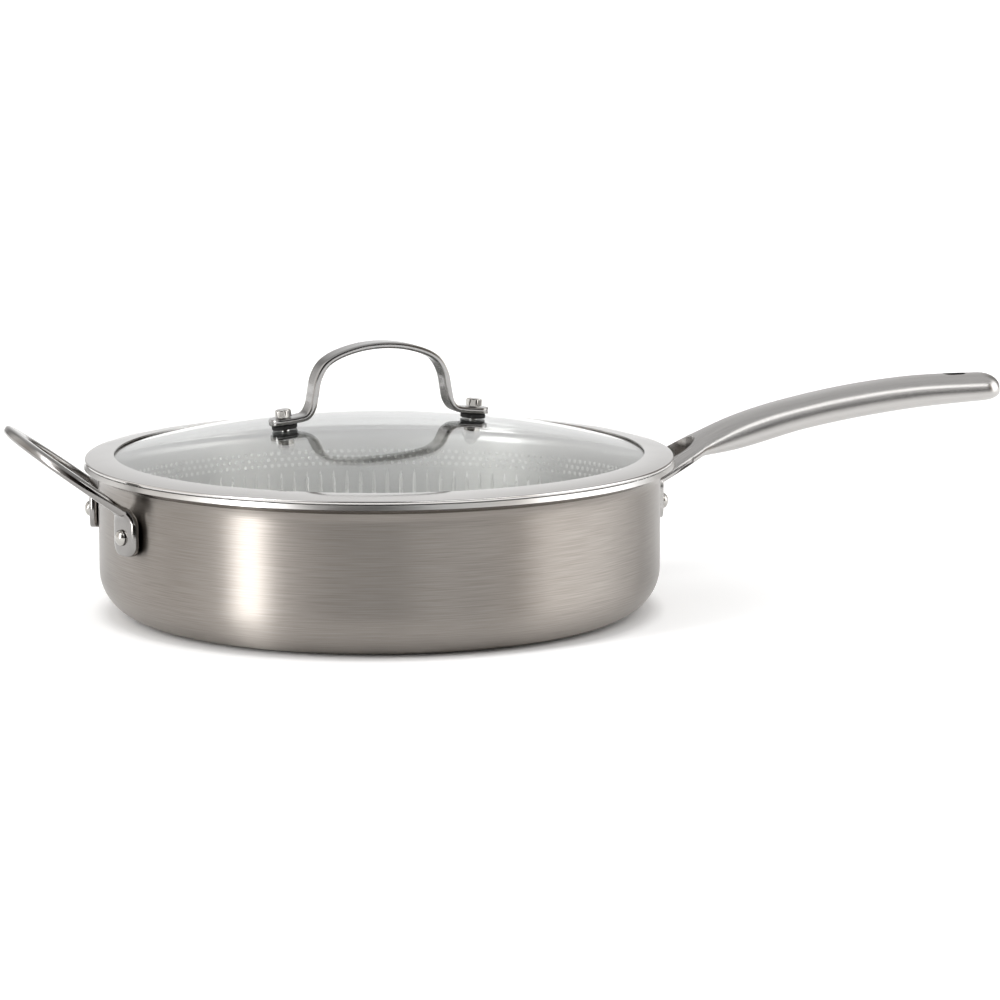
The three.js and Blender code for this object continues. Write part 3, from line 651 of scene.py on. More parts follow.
def brushed_steel(name, tint, roughness, stretch, streak_length, streak_width, depth):
    """Stainless steel brushed along the u of its grain map."""
    material, tree = new_material(name)
    lines = add(tree, "ShaderNodeMapping", {
        "Vector": add(tree, "ShaderNodeUVMap", uv_map=GRAIN),
        "Scale": (1 / streak_length, 1 / streak_width, 1),
    })
    streaks = add(tree, "ShaderNodeTexNoise", {"Vector": lines, "Scale": 1.0, "Detail": 3.0})
    dull = remapped(tree, noise(tree, PATCH_SIZE, detail=2.0), CLOUD_NOISE, PATCH_CHANGE)
    rough = remapped(tree, streaks, STREAK_NOISE, [roughness * change for change in STREAK_CHANGE])
    shader = add(tree, "ShaderNodeBsdfPrincipled", {
        "Base Color": blend(tree, streaks, colour(tint[0]), colour(tint[1])),
        "Metallic": 1, "Roughness": calc(tree, "ADD", rough, dull),
        "Anisotropic": stretch, "Anisotropic Rotation": ACROSS_GRAIN,
        "Tangent": add(tree, "ShaderNodeTangent", direction_type="UV_MAP", uv_map=GRAIN),
        "Normal": add(tree, "ShaderNodeBump", {"Height": streaks, "Strength": 1.0, "Distance": depth}),
    })
    add(tree, "ShaderNodeOutputMaterial", {"Surface": shader})
    return material


def polished_steel(name, tint, roughness):
    """Stainless steel buffed until the brush lines are gone."""
    material, tree = new_material(name)
    clouds = noise(tree, CLOUD_SIZE, detail=4.0)
    rough = remapped(tree, clouds, CLOUD_NOISE, [roughness * change for change in CLOUD_CHANGE])
    shader = add(tree, "ShaderNodeBsdfPrincipled", {
        "Base Color": colour(tint), "Metallic": 1, "Roughness": rough,
    })
    add(tree, "ShaderNodeOutputMaterial", {"Surface": shader})
    return material


def layered_edge():
    """The cut edge of the bonded sheet: a warm core between a lower skin darkened with painted shade and a
    paler upper one.
    """
    material, tree = new_material("bonded_sheet_edge_ground_flat_painted_shade")
    place = add(tree, "ShaderNodeTexCoord").outputs["Object"]
    height = add(tree, "ShaderNodeSeparateXYZ", {0: place}).outputs["Z"]
    share = remapped(tree, height, (LIP_TOP - SHEET * math.sin(LIP_ANGLE), LIP_TOP))
    ramp = add(tree, "ShaderNodeValToRGB", {0: share})
    ramp.color_ramp.interpolation = "CONSTANT"
    fill_ramp(ramp, [(start, colour(code)) for start, code in SHEET_LAYERS_AND_SHADE])
    shader = add(tree, "ShaderNodeBsdfPrincipled", {"Base Color": ramp, "Metallic": 1, "Roughness": 0.09})
    add(tree, "ShaderNodeOutputMaterial", {"Surface": shader})
    return material


def clear_glass():
    """Tempered glass, a little green, with light from lamps let through to the pan."""
    material, tree = new_material("soda_lime_glass_tempered")
    tint = colour("#FBFDFC")
    glass = add(tree, "ShaderNodeBsdfPrincipled", {
        "Base Color": tint, "Roughness": 0.0, "IOR": 1.52, "Transmission Weight": 1,
    })
    clear = add(tree, "ShaderNodeBsdfTransparent", {"Color": tint})
    shadow = add(tree, "ShaderNodeLightPath").outputs["Is Shadow Ray"]
    mixed = add(tree, "ShaderNodeMixShader", {0: shadow, 1: glass, 2: clear})
    add(tree, "ShaderNodeOutputMaterial", {"Surface": mixed})
    return material


def black_silicone():
    """Moulded silicone rubber: deep black, with the mould's fine even tooth making it matt."""
    material, tree = new_material("silicone_rubber_moulded_matt")
    tooth = noise(tree, TOOTH_SIZE, detail=2.0)
    shader = add(tree, "ShaderNodeBsdfPrincipled", {
        "Base Color": blend(tree, tooth, colour("#0E0E0E"), colour("#1C1C1C")),
        "Roughness": 0.62, "IOR": 1.41,
        "Normal": add(tree, "ShaderNodeBump", {"Height": tooth, "Strength": 0.4, "Distance": TOOTH_DEPTH}),
    })
    add(tree, "ShaderNodeOutputMaterial", {"Surface": shader})
    return material


# Lathe brushing leaves long fine lines round the wall, so lights smear into upright bands.
# Real lines are about 0.2 mm wide; they are drawn 0.6 mm wide so that they show.
# Its dark, warm tint is painted shade and a painted warm reflection.
WALL_STEEL = brushed_steel(
    "stainless_steel_brushed_round_painted_shade_and_reflection", ("#79746F", "#ADA7A1"), roughness=0.38, stretch=1.0,
    streak_length=28 * MM, streak_width=0.6 * MM, depth=0.002 * MM)
# The inside is given an even satin, which keeps only a soft glow of what is above it.
# Real lines are about 0.2 mm wide; they are drawn 1.2 mm wide so that they show.
INSIDE_STEEL = brushed_steel(
    "stainless_steel_satin_inside", ("#BDBCBA", "#CFCECC"), roughness=0.32, stretch=0.5,
    streak_length=40 * MM, streak_width=1.2 * MM, depth=0.003 * MM)
# The handles are belt ground along their length, so lights run across them as soft bars.
# Real lines are about 0.15 mm wide; they are drawn 0.7 mm wide so that they show.
HANDLE_STEEL = brushed_steel(
    "stainless_steel_satin_lengthwise", ("#ACAAA8", "#C4C2C0"), roughness=0.25, stretch=0.7,
    streak_length=30 * MM, streak_width=0.7 * MM, depth=0.002 * MM)
# The lid strap is ground finer before it is bent, so its narrow sides mirror the dark of the room.
# Real lines are about 0.1 mm wide; they are drawn 0.6 mm wide so that they show.
STRAP_STEEL = brushed_steel(
    "stainless_steel_fine_ground_strip", ("#929190", "#AEADAC"), roughness=0.15, stretch=0.4,
    streak_length=20 * MM, streak_width=0.6 * MM, depth=0.0015 * MM)
# The raised pattern is pressed in a polished tool, so its crests are smoother than the satin round them;
# their pale tint is a painted highlight that keeps them brighter.
PRESSED_STEEL = polished_steel("stainless_steel_pressed_painted_highlight", "#EEEDEB", roughness=0.26)
# The lip is buffed after brushing, so it shows the room almost like a mirror; its tint is painted darker, as
# painted shade under the lid rim.
LIP_STEEL = polished_steel("stainless_steel_buffed_lip_painted_shade", "#807C77", roughness=0.18)
# The rim is rolled from mirror-polished strip, so it shows the pale room as one crisp bright band.
RIM_STEEL = polished_steel("stainless_steel_mirror_polished", "#CCCAC8", roughness=0.13)
# The loop is bent from bar and buffed by hand, so it mirrors the studio blurred; its tint is painted darker
# than the rim's, as painted shade.
LOOP_STEEL = polished_steel("stainless_steel_buffed_bar_painted_shade", "#8E8C8A", roughness=0.17)
# Rivets, screws and nuts are cold headed in smooth dies, so each holds a small bright highlight.
RIVET_STEEL = polished_steel("stainless_steel_cold_headed", "#B4B2AE", roughness=0.2)
# The lip's edge is ground flat across the bonded layers, so a thin warm line runs round under the lid; its
# lower skin is painted darker, as painted shade.
EDGE_LAYERS = layered_edge()
# Tempered glass is smooth on both faces: it is clear seen from above and mirrors the room at a low angle.
GLASS = clear_glass()
# Moulded silicone is matt, so the pads stay soft black between bright steel and glass.
SILICONE = black_silicone()


# Pan


def shell_line():
    """The outside of the pan in two lines: the base with the wall, and the flared lip to its end."""
    tail = (LIP_TAIL * math.sin(LIP_ANGLE), LIP_TAIL * math.cos(LIP_ANGLE))
    flare_foot = LIP_TOP - (LIP_FLARE + SHEET) * math.sin(LIP_ANGLE) - tail[1]
    base = [(radius, 0) for radius in np.linspace(0, WALL_RADIUS - BASE_FILLET, WALL_STEPS, endpoint=False)]
    fillet = arc((WALL_RADIUS - BASE_FILLET, BASE_FILLET), BASE_FILLET, -QUARTER_TURN, 0)
    wall = [(WALL_RADIUS, height) for height in np.linspace(BASE_FILLET, flare_foot, WALL_STEPS)[1:-1]]
    flare = arc((WALL_RADIUS + LIP_FLARE, flare_foot), LIP_FLARE, HALF_TURN, HALF_TURN - LIP_ANGLE)
    edge = (flare[-1][0] + tail[0], flare[-1][1] + tail[1])
    buffed = int(LIP_BUFFED_FROM * len(flare))
    return base + fillet + wall + flare[:buffed], [*flare[buffed:], edge]


def pan_wall():
    """The pan body: brushed outside, buffed lip with its layered edge, satin inside."""
    wall, lip = shell_line()
    inside = shifted(wall + lip, SHEET)
    inner_wall, inner_lip = inside[:len(wall)], inside[len(wall):]
    lines = [wall, lip[:-1], [lip[-1]], inner_lip[::-1][:-1] + inner_lip[:1] + inner_wall[::-1]]
    piece = turned("pan_wall", lines, (WALL_STEEL, LIP_STEEL, EDGE_LAYERS, INSIDE_STEEL))
    stored(piece, "pan", "brushed_shell", "pan_shell")


def wall_dots():
    """Rows of low round dots raised on the upper part of the inside wall."""
    columns = round(WHOLE_TURN * INNER_WALL / DOT_PITCH)
    rings = []
    for rise in np.linspace(0, 1, DOT_RINGS, endpoint=False):
        reach = DOT_RADIUS * math.sqrt(1 - rise ** 2)
        turn = np.linspace(0, WHOLE_TURN, DOT_SEGMENTS, endpoint=False)
        depth = INNER_WALL + GAP - (DOT_HEIGHT + GAP) * rise
        rings.append([(depth, reach * math.cos(a), DOT_LOW + reach * math.sin(a)) for a in turn])
    pattern = skinned("dot", rings, PRESSED_STEEL)
    piece = copied(
        "wall_dots", pattern, PRESSED_STEEL, columns, 0.0, WHOLE_TURN / columns,
        rows=DOT_ROWS, row_shift=DOT_ROW_SHIFT, row_height=DOT_ROW_HEIGHT)
    stored(piece, "pan", "brushed_shell")


def wall_ribs():
    """Low upright ribs raised on the inside wall under the dots."""
    columns = round(WHOLE_TURN * INNER_WALL / RIB_PITCH)
    middle, half = (RIB_LOW + RIB_TOP) / 2, (RIB_TOP - RIB_LOW) / 2
    rings = []
    for turn in np.linspace(-QUARTER_TURN, QUARTER_TURN, RIB_RINGS + 2)[1:-1]:
        size = math.cos(turn) ** RIB_POWER
        depth, width = (RIB_SINK + RIB_HEIGHT) * size, RIB_HALF_WIDTH * size
        height = middle + half * math.sin(turn)
        around = np.linspace(0, WHOLE_TURN, RIB_SEGMENTS, endpoint=False)
        rings.append([
            (INNER_WALL + RIB_SINK - depth * math.cos(a), width * math.sin(a), height) for a in around
        ])
    pattern = skinned("rib", rings, PRESSED_STEEL)
    piece = copied("wall_ribs", pattern, PRESSED_STEEL, columns, 0.0, WHOLE_TURN / columns)
    stored(piece, "pan", "brushed_shell")


def rivet(foot_thickness, height):
    """One rivet pointing out along +X: domed head outside, flatter dome inside the wall."""
    back = INNER_WALL - GAP
    seat = WALL_RADIUS + GAP + foot_thickness + GAP
    tail = arc((0, back), RIVET_BACK, -QUARTER_TURN, 0, squash=RIVET_BACK_DOME / RIVET_BACK)
    head = arc((0, seat), RIVET_HEAD, 0, QUARTER_TURN, squash=RIVET_DOME / RIVET_HEAD)
    line = [*tail, (RIVET_SHANK, back), (RIVET_SHANK, seat), *head]
    piece = turned("rivet", [line], [RIVET_STEEL], SMALL_SIDES)
    return placed(piece, Matrix.Translation((0, 0, height)) @ Matrix.Rotation(QUARTER_TURN, 4, "Y"))


def rivets():
    """Both pairs of rivets."""
    azimuth = math.asin(HANDLE_RIVET_HALF_SPAN / WALL_RADIUS)
    pattern = rivet(FLANGE_SHEET, HANDLE_RIVET_HEIGHT)
    piece = copied("handle_rivets", pattern, RIVET_STEEL, 2, -azimuth, 2 * azimuth)
    stored(piece, "pan", "fastener", "long_rivet_1", "long_rivet_2")
    pattern = rivet(HELPER_BAR, HELPER_RIVET_HEIGHT)
    piece = copied("loop_rivets", pattern, RIVET_STEEL, 2, HALF_TURN - HELPER_SPREAD, 2 * HELPER_SPREAD)
    stored(piece, "pan", "fastener", "helper_rivet_1", "helper_rivet_2")


# Long handle

RIDGE_LINE = through(HANDLE_RIDGE)
BELLY_LINE = through(HANDLE_BELLY)
WIDTH_LINE = through(HANDLE_HALF_WIDTH)
END_START = HANDLE_REACH - HANDLE_END_ROUND


def handle_section(distance, skin=0.0):
    """One upright section of the handle, set in by a skin thickness."""
    into_end = max(0, (distance - END_START) / HANDLE_END_ROUND)
    rounding = (1 - into_end ** HANDLE_END_POWER) ** (1 / HANDLE_END_POWER)
    neck = NECK_KEEL_RISE + NECK_KEEL_SLOPE * distance
    keel = HANDLE_RIVET_HEIGHT + min(neck, BELLY_LINE(distance))
    top = HANDLE_RIVET_HEIGHT + RIDGE_LINE(distance)
    waist = keel + HANDLE_WAIST * (top - keel)
    sizes = [WIDTH_LINE(distance) * rounding, (top - waist) * rounding, (waist - keel) * rounding]
    sizes = [size - skin for size in sizes]
    powers = (HANDLE_TOP_POWER, HANDLE_BELLY_POWER)
    return section((WALL_RADIUS + distance, 0, waist), SIDEWAYS, UPWARD, sizes, powers, HANDLE_RING)


def stadium(half_length, half_width):
    """An outline with two straight sides and two round ends, lying along X."""
    straight = half_length - half_width
    right = arc((straight, 0), half_width, -QUARTER_TURN, QUARTER_TURN)
    left = arc((-straight, 0), half_width, QUARTER_TURN, QUARTER_TURN + HALF_TURN)
    return right + left


def through_slot(distance, half_length, half_width):
    """A tall body with round ends that cuts a slot straight down through the handle."""
    slot = prism("slot", stadium(half_length, half_width), 0, LIP_TOP + HANDLE_REACH, HANDLE_STEEL)
    return placed(slot, Matrix.Translation((WALL_RADIUS + distance, 0, 0)))


def fork_pocket(side):
    """The wedge that is pressed out of one fork leg's outer side."""
    rise = NECK_KEEL_SLOPE * POCKET_LENGTH
    wedge = [(0, 0), (POCKET_LENGTH, rise), (POCKET_LENGTH, rise + POCKET_HEIGHT)]
    bottom = WIDTH_LINE(POCKET_START + POCKET_LENGTH) - POCKET_DEPTH
    rings = [
        [(WALL_RADIUS + POCKET_START + x, side * y, HANDLE_RIVET_HEIGHT + POCKET_RISE + z) for x, z in wedge]
        for y in (bottom, bottom + FLANGE_HALF_WIDTH)
    ]
    return skinned("pocket", rings, HANDLE_STEEL)


def flange_plate():
    """The handle's foot: a plate with round corners, bent to the wall."""
    low, high = HANDLE_RIVET_HEIGHT - FLANGE_BELOW, HANDLE_RIVET_HEIGHT + FLANGE_ABOVE
    side = FLANGE_HALF_WIDTH - FLANGE_CORNER
    corners = ((side, low + FLANGE_CORNER), (side, high - FLANGE_CORNER),
               (-side, high - FLANGE_CORNER), (-side, low + FLANGE_CORNER))
    outline = [
        point for i, centre in enumerate(corners)
        for point in arc(centre, FLANGE_CORNER, (i - 1) * QUARTER_TURN, i * QUARTER_TURN)
    ]
    rings = [[(x, y, z) for y, z in outline] for x in (0, 2 * WALL_RADIUS)]
    block = skinned("flange_block", rings, HANDLE_STEEL)
    inside = WALL_RADIUS + GAP
    band = [(inside, low - GAP), (inside + FLANGE_SHEET, low - GAP),
            (inside + FLANGE_SHEET, high + GAP), (inside, high + GAP), (inside, low - GAP)]
    return combined(turned("flange", [band], [HANDLE_STEEL]), [block], "INTERSECT")


def handle_grip():
    """The long handle: forked neck on its flange, running into a hollow, deep-bellied grip."""
    root = HANDLE_RIDGE[0][0] * MM
    places = list(np.linspace(root, END_START, HANDLE_STATIONS, endpoint=False))
    places += [
        END_START + HANDLE_END_ROUND * math.sin(QUARTER_TURN * i / END_STATIONS)
        for i in range(END_STATIONS)
    ]
    grip = skinned("handle_grip", [handle_section(place) for place in places], HANDLE_STEEL)
    hollow = np.linspace(CAVITY_FROM_WALL, HANDLE_REACH - CAVITY_FROM_TIP, HOLLOW_STATIONS)
    cavity = skinned("cavity", [handle_section(place, HANDLE_SKIN) for place in hollow], HANDLE_STEEL)
    round_wall = [(0, 0), (WALL_RADIUS + GAP, 0), (WALL_RADIUS + GAP, 2 * LIP_TOP), (0, 2 * LIP_TOP)]
    tools = [
        cavity,
        turned("wall_space", [round_wall], [HANDLE_STEEL]),
        through_slot(0, FORK_SLOT_END, FORK_SLOT_HALF_WIDTH),
        through_slot(HANDLE_REACH - HANG_HOLE_FROM_TIP, HANG_HOLE_HALF_LENGTH, HANG_HOLE_HALF_WIDTH),
        fork_pocket(1),
        fork_pocket(-1),
    ]
    combined(grip, tools, "DIFFERENCE")
    combined(grip, [flange_plate()], "UNION")
    stored(grip, "pan", "satin_handle", "long_handle")


# Helper loop


def bar_section(point, heading, face_hint, half):
    """One cross-section of the helper bar at a point of its path."""
    face = (face_hint - face_hint.dot(heading) * heading).normalized()
    across = heading.cross(face)
    sizes = (half, HELPER_BAR / 2, HELPER_BAR / 2)
    return section(point, across, face, sizes, (HELPER_POWER, HELPER_POWER), HELPER_RING)


def rounded_half(half, round_end, from_end):
    """Half width left at a depth into a rounded end."""
    left = max(0, 1 - from_end / round_end)
    return half - round_end * (1 - math.sqrt(1 - left * left))


def helper_half(side):
    """Half of the loop's sections, from the foot on one side to the middle of the front, towards +X."""
    radial = Vector((math.cos(HELPER_SPREAD), side * math.sin(HELPER_SPREAD), 0))
    face = WALL_RADIUS + GAP + HELPER_BAR / 2
    rows = []
    for share in np.linspace(0, 1, ARC_STEPS + 1)[1:]:
        rise = HELPER_FOOT_ROUND * (1 - math.cos(QUARTER_TURN * share))
        point = radial * face + UPWARD * (HELPER_RIVET_HEIGHT - HELPER_FOOT_BELOW + rise)
        half = rounded_half(HELPER_FOOT_HALF, HELPER_FOOT_ROUND, rise)
        rows.append(bar_section(point, UPWARD, -radial, half))
    slope = math.tan(HELPER_SLOPE)
    bend = QUARTER_TURN - math.atan(slope * math.cos(HELPER_SPREAD))
    for share in np.linspace(0, 1, ARC_STEPS + 1):
        turn = bend * share
        point = radial * (face + HELPER_BEND * (1 - math.cos(turn)))
        point.z = HELPER_RIVET_HEIGHT + HELPER_BEND_ABOVE + HELPER_BEND * math.sin(turn)
        heading = radial * math.sin(turn) + UPWARD * math.cos(turn)
        half = HELPER_FOOT_HALF + (HELPER_LEG_HALF - HELPER_FOOT_HALF) * share
        rows.append(bar_section(point, heading, UPWARD * math.sin(turn) - radial * math.cos(turn), half))
    start = point
    front = WALL_RADIUS + HELPER_REACH
    guides = (
        start, start + radial * HELPER_SHOULDER,
        Vector((front, side * HELPER_FRONT, 0)), Vector((front, 0, 0)),
    )
    loop_face = Vector((-math.sin(HELPER_SLOPE), 0, math.cos(HELPER_SLOPE)))
    for share in np.linspace(0, 1, HELPER_LOOP_STEPS + 1)[1:]:
        left = 1 - share
        weights = (left ** 3, 3 * left ** 2 * share, 3 * left * share ** 2, share ** 3)
        point = sum((guide * weight for guide, weight in zip(guides, weights)), Vector())
        point.z = start.z + (point.x - start.x) * slope
        pulls = (left ** 2, 2 * left * share, share ** 2)
        heading = sum(((b - a) * pull for a, b, pull in zip(guides, guides[1:], pulls)), Vector())
        heading.z = heading.x * slope
        half = HELPER_LEG_HALF + (HELPER_GRIP_HALF - HELPER_LEG_HALF) * min(1, share / HELPER_TAPER_END)
        rows.append(bar_section(point, heading.normalized(), loop_face, half))
    return rows


def loop_bar():
    """The helper loop: both halves in one body, the second with its rings in the first one's order."""
    back = helper_half(-1)[::-1][1:]
    order = [(HELPER_RING + HELPER_RING // 2 - i) % HELPER_RING for i in range(HELPER_RING)]
    piece = skinned("loop_bar", helper_half(1) + [ring[order] for ring in back], LOOP_STEEL)
    placed(piece, Matrix.Rotation(HALF_TURN, 4, "Z"))
    stored(piece, "pan", "polished_steel", "helper_handle")


# Lid


def dome_height(radius, sphere):
    """Height of a sphere about the dome's centre at a radius from the axis."""
    return DOME_CENTRE + math.sqrt(sphere ** 2 - radius ** 2)


def dome_glass():
    """The glass: a shallow dome of one thickness, its edge ground round."""
    edge = GLASS_RADIUS - EDGE_ROUND
    radii = np.linspace(0, edge, GLASS_STEPS)
    under = [(radius, dome_height(radius, DOME_RADIUS - GLASS_SHEET)) for radius in radii]
    over = [(radius, dome_height(radius, DOME_RADIUS)) for radius in radii[::-1]]
    side = [(GLASS_RADIUS, under[-1][1] + EDGE_ROUND), (GLASS_RADIUS, over[0][1] - EDGE_ROUND)]
    piece = turned("dome_glass", [under + side + over], [GLASS])
    outline = arc((0, 0), BORE, 0, WHOLE_TURN, SMALL_SIDES)[1:]
    bores = [
        placed(prism("bore", outline, NUT_FOOT, HEAD_TOP, GLASS), foot_axis(turn))
        for turn in (LID_TURN, LID_TURN + HALF_TURN)
    ]
    combined(piece, bores, "DIFFERENCE")
    stored(piece, "lid", "lid_glass", "lid_glass")


def rim_fold():
    """The rim: a strip folded over the glass edge, hemmed outside, with a short skirt in the pan's mouth."""
    under = LIP_TOP + GAP
    hem = (RIM_RADIUS - RIM_HEM, under + RIM_HEM)
    inner_edge = (RIM_INNER_RADIUS, RIM_TOP)
    fold_end = RIM_INNER_RADIUS + RIM_SHEET
    low = dome_height(GLASS_RADIUS, DOME_RADIUS - GLASS_SHEET) - GAP - RIM_SHEET
    crown = [
        (inner_edge[0] + (hem[0] - inner_edge[0]) * share,
         inner_edge[1] + (hem[1] + RIM_HEM - inner_edge[1]) * share + 4 * RIM_CROWN * share * (1 - share))
        for share in np.linspace(0, 1, ARC_STEPS, endpoint=False)
    ]
    line = [
        *crown,
        *arc(hem, RIM_HEM, QUARTER_TURN, -QUARTER_TURN),
        (SKIRT_RADIUS + RIM_BEND, under),
        (SKIRT_RADIUS, under - RIM_BEND),
        (SKIRT_RADIUS, low + RIM_BEND),
        (SKIRT_RADIUS - RIM_BEND, low),
        (fold_end, dome_height(fold_end, DOME_RADIUS - GLASS_SHEET) - GAP - RIM_SHEET),
    ]
    fold = line[::-1] + shifted(line, -RIM_SHEET)
    piece = turned("rim_fold", [fold + fold[:1]], [RIM_STEEL])
    stored(piece, "lid", "polished_steel", "lid_rim")


def foot_axis(turn):
    """The axis of one lid screw, square to the glass, as a matrix."""
    lean = Matrix.Translation((0, 0, DOME_CENTRE)) @ Matrix.Rotation(SCREW_LEAN, 4, "Y")
    return Matrix.Rotation(turn, 4, "Z") @ lean @ Matrix.Translation((0, 0, DOME_RADIUS))


def strap_arch():
    """The lid handle: feet square to the screws, bent up into an arch, with a round tip at each end."""
    axis = foot_axis(0)
    foot = axis @ Vector((0, 0, STRAP_BASE + STRAP_SHEET / 2))
    outwards = axis.to_3x3() @ ALONG
    half = [foot + outwards * distance for distance in (STRAP_TIP, 0, -STRAP_FLAT)]
    half += [Vector((SCREW_HALF_SPAN - inset * MM, 0, foot.z + rise * MM)) for inset, rise in STRAP_ARCH]
    crown = Vector((0, 0, foot.z + STRAP_CROWN))
    path = smooth_path([*half, crown, *(Vector((-p.x, 0, p.z)) for p in half[::-1])])
    length = running_length(path)
    whole = length[-1]
    tips = [STRAP_TIP_ROUND * (1 - math.cos(QUARTER_TURN * i / ARC_STEPS)) for i in range(1, ARC_STEPS)]
    straight = np.linspace(STRAP_TIP_ROUND, whole - STRAP_TIP_ROUND, STRAP_STEPS)
    rings = []
    for distance in [*tips, *straight, *(whole - tip for tip in tips[::-1])]:
        point, ahead, behind = (
            [np.interp(place, length, path[:, i]) for i in range(3)]
            for place in (distance, distance + STRAP_STEP, distance - STRAP_STEP)
        )
        face = SIDEWAYS.cross(Vector(ahead) - Vector(behind)).normalized()
        width = rounded_half(STRAP_HALF_WIDTH, STRAP_TIP_ROUND, min(distance, whole - distance))
        sizes = (width, STRAP_SHEET / 2, STRAP_SHEET / 2)
        rings.append(section(point, SIDEWAYS, face, sizes, (STRAP_POWER, STRAP_POWER), STRAP_RING))
    piece = skinned("strap_arch", rings, STRAP_STEEL)
    placed(piece, Matrix.Rotation(LID_TURN, 4, "Z"))
    stored(piece, "lid", "satin_handle", "lid_handle")


def disc(reach, height):
    """A ring of points, with one reach from the axis for all of them or one for each."""
    reach = np.broadcast_to(reach, STACK_RING)
    return [(r * math.cos(a), r * math.sin(a), height) for r, a in zip(reach, STACK_TURNS)]


def hexagon(radius, height, chamfer=0.0):
    """A ring of points of a six-sided section, with its corners cut back to a circle by the chamfer."""
    flat = radius * math.cos(HEX_HALF)
    reach = flat / np.cos((STACK_TURNS + HEX_HALF) % HEX_SIDE - HEX_HALF)
    return disc(np.minimum(reach, radius - chamfer), height)


def stack_pair(name, pattern, material, slot, node):
    """Both copies of one piece of the screw stacks, set square to the glass."""
    placed(pattern, foot_axis(0))
    piece = copied(name, pattern, material, 2, LID_TURN, HALF_TURN)
    stored(piece, "lid", slot, node + "_1", node + "_2")


def screw_stacks():
    """Everything on the two lid screws: screw, pad under the strap, seal, washer and cap nut."""
    screw = skinned("screw", [
        disc(SCREW_SHANK, NUT_FOOT), disc(SCREW_SHANK, HEAD_BASE), hexagon(SCREW_HEAD, HEAD_BASE),
        hexagon(SCREW_HEAD, HEAD_TOP - SCREW_CHAMFER),
        hexagon(SCREW_HEAD, HEAD_TOP - SCREW_CHAMFER / 2, SCREW_CHAMFER / 2),
        disc(SCREW_HEAD * math.cos(HEX_HALF) * SCREW_CROWN, HEAD_TOP),
    ], RIVET_STEEL)
    stack_pair("lid_screws", screw, RIVET_STEEL, "fastener", "lid_screw")
    inset = PAD_HALF_LENGTH - EDGE_ROUND
    rings = [
        [(x, y, height) for x, y in stadium(length, PAD_HALF_WIDTH - PAD_HALF_LENGTH + length)]
        for length, height in (
            (inset, GAP), (PAD_HALF_LENGTH, GAP + EDGE_ROUND),
            (PAD_HALF_LENGTH, GAP + PAD_SHEET - EDGE_ROUND), (inset, GAP + PAD_SHEET),
        )
    ]
    stack_pair("foot_pads", skinned("pad", rings, SILICONE), SILICONE, "silicone", "foot_pad")
    for name, outer, top, sheet, material, slot, node in (
        ("inner_seals", SEAL_RADIUS, SEAL_TOP, SEAL_SHEET, SILICONE, "silicone", "inner_seal"),
        ("washers", WASHER_RADIUS, WASHER_TOP, WASHER_SHEET, RIVET_STEEL, "fastener", "lid_washer"),
    ):
        low = top - sheet
        profile = [(BORE, low), (outer - EDGE_ROUND, low), (outer, low + EDGE_ROUND),
                   (outer, top - EDGE_ROUND), (outer - EDGE_ROUND, top), (BORE, top), (BORE, low)]
        stack_pair(name, turned("ring", [profile], [material], SMALL_SIDES), material, slot, node)
    dome = NUT_RADIUS * math.cos(HEX_HALF) - EDGE_ROUND
    curve = arc((0, NUT_FOOT), dome, -QUARTER_TURN, 0, squash=NUT_DOME / dome)[1:]
    nut = skinned("nut", [
        *(disc(radius, height) for radius, height in curve), hexagon(NUT_RADIUS, NUT_FOOT, EDGE_ROUND),
        hexagon(NUT_RADIUS, NUT_FOOT + EDGE_ROUND), hexagon(NUT_RADIUS, NUT_TOP),
    ], RIVET_STEEL)
    stack_pair("cap_nuts", nut, RIVET_STEEL, "fastener", "cap_nut")


pan_wall()
wall_dots()
wall_ribs()
rivets()
handle_grip()
loop_bar()
dome_glass()
rim_fold()
strap_arch()
screw_stacks()


# Studio

FLOOR_RADIUS = 40.0
# The floor's own light at a distance from the pan's axis: with the light that falls on it, it comes to about
# white. Under the pan and in a narrow ring round its foot it has none, which is a painted contact shadow.
FLOOR_GLOW = ((0.0, 0.0), (0.144, 0.0), (0.156, 0.36), (0.5, 0.4), (2.5, 0.5))
# The room round the pan at eye height: bearing, colour and brightness.
# A bearing is counted in degrees from the direction of the camera and grows from its left to its right.
ROOM = (
    (-180, "#FFFFFF", 1.0), (-146, "#F2F0EE", 0.4), (-126, "#F2F0EE", 1.5), (-92, "#D8D2CC", 1.2),
    (-64, "#F0EEEC", 1.6), (-56, "#FFFFFF", 14.0), (-50, "#FFFFFF", 14.0), (-44, "#C8C4C2", 1.4),
    (-20, "#5A4030", 0.3), (-6, "#3A2010", 0.1), (46, "#3A2010", 0.1), (60, "#B0A090", 0.8),
    (74, "#F0EEEC", 3.8), (108, "#F2F2F2", 3.2), (136, "#B4AEA8", 0.4), (156, "#B4AEA8", 0.5),
    (180, "#FFFFFF", 1.0),
)
# The ceiling fades in between two climbs of a line of sight.
# It is pale behind the pan and dim above the camera.
CEILING_CLIMB = (0.58, 0.78)
CEILING_LIGHT = (0.9, 0.44)
# Points that the lamps face
PAN_MIDDLE = (0, 0, 0.08)
GRIP_MIDDLE = (0.26, 0, 0.11)
# Soft lamps: name, place, point faced, width and height in metres, and power in watts
LAMPS = (
    ("left_softbox", (-1.42, -0.57, 1.9), PAN_MIDDLE, 1.3, 1.3, 8),
    ("front_softbox", (0.58, -1.19, 1.42), GRIP_MIDDLE, 1.2, 0.42, 5),
    ("front_fill", (0.68, -1.56, 0.9), GRIP_MIDDLE, 1.0, 0.6, 1.1),
)


def turn_share(angle):
    """The place of a bearing in degrees on a ramp that runs once round."""
    return (angle + 180) / 360


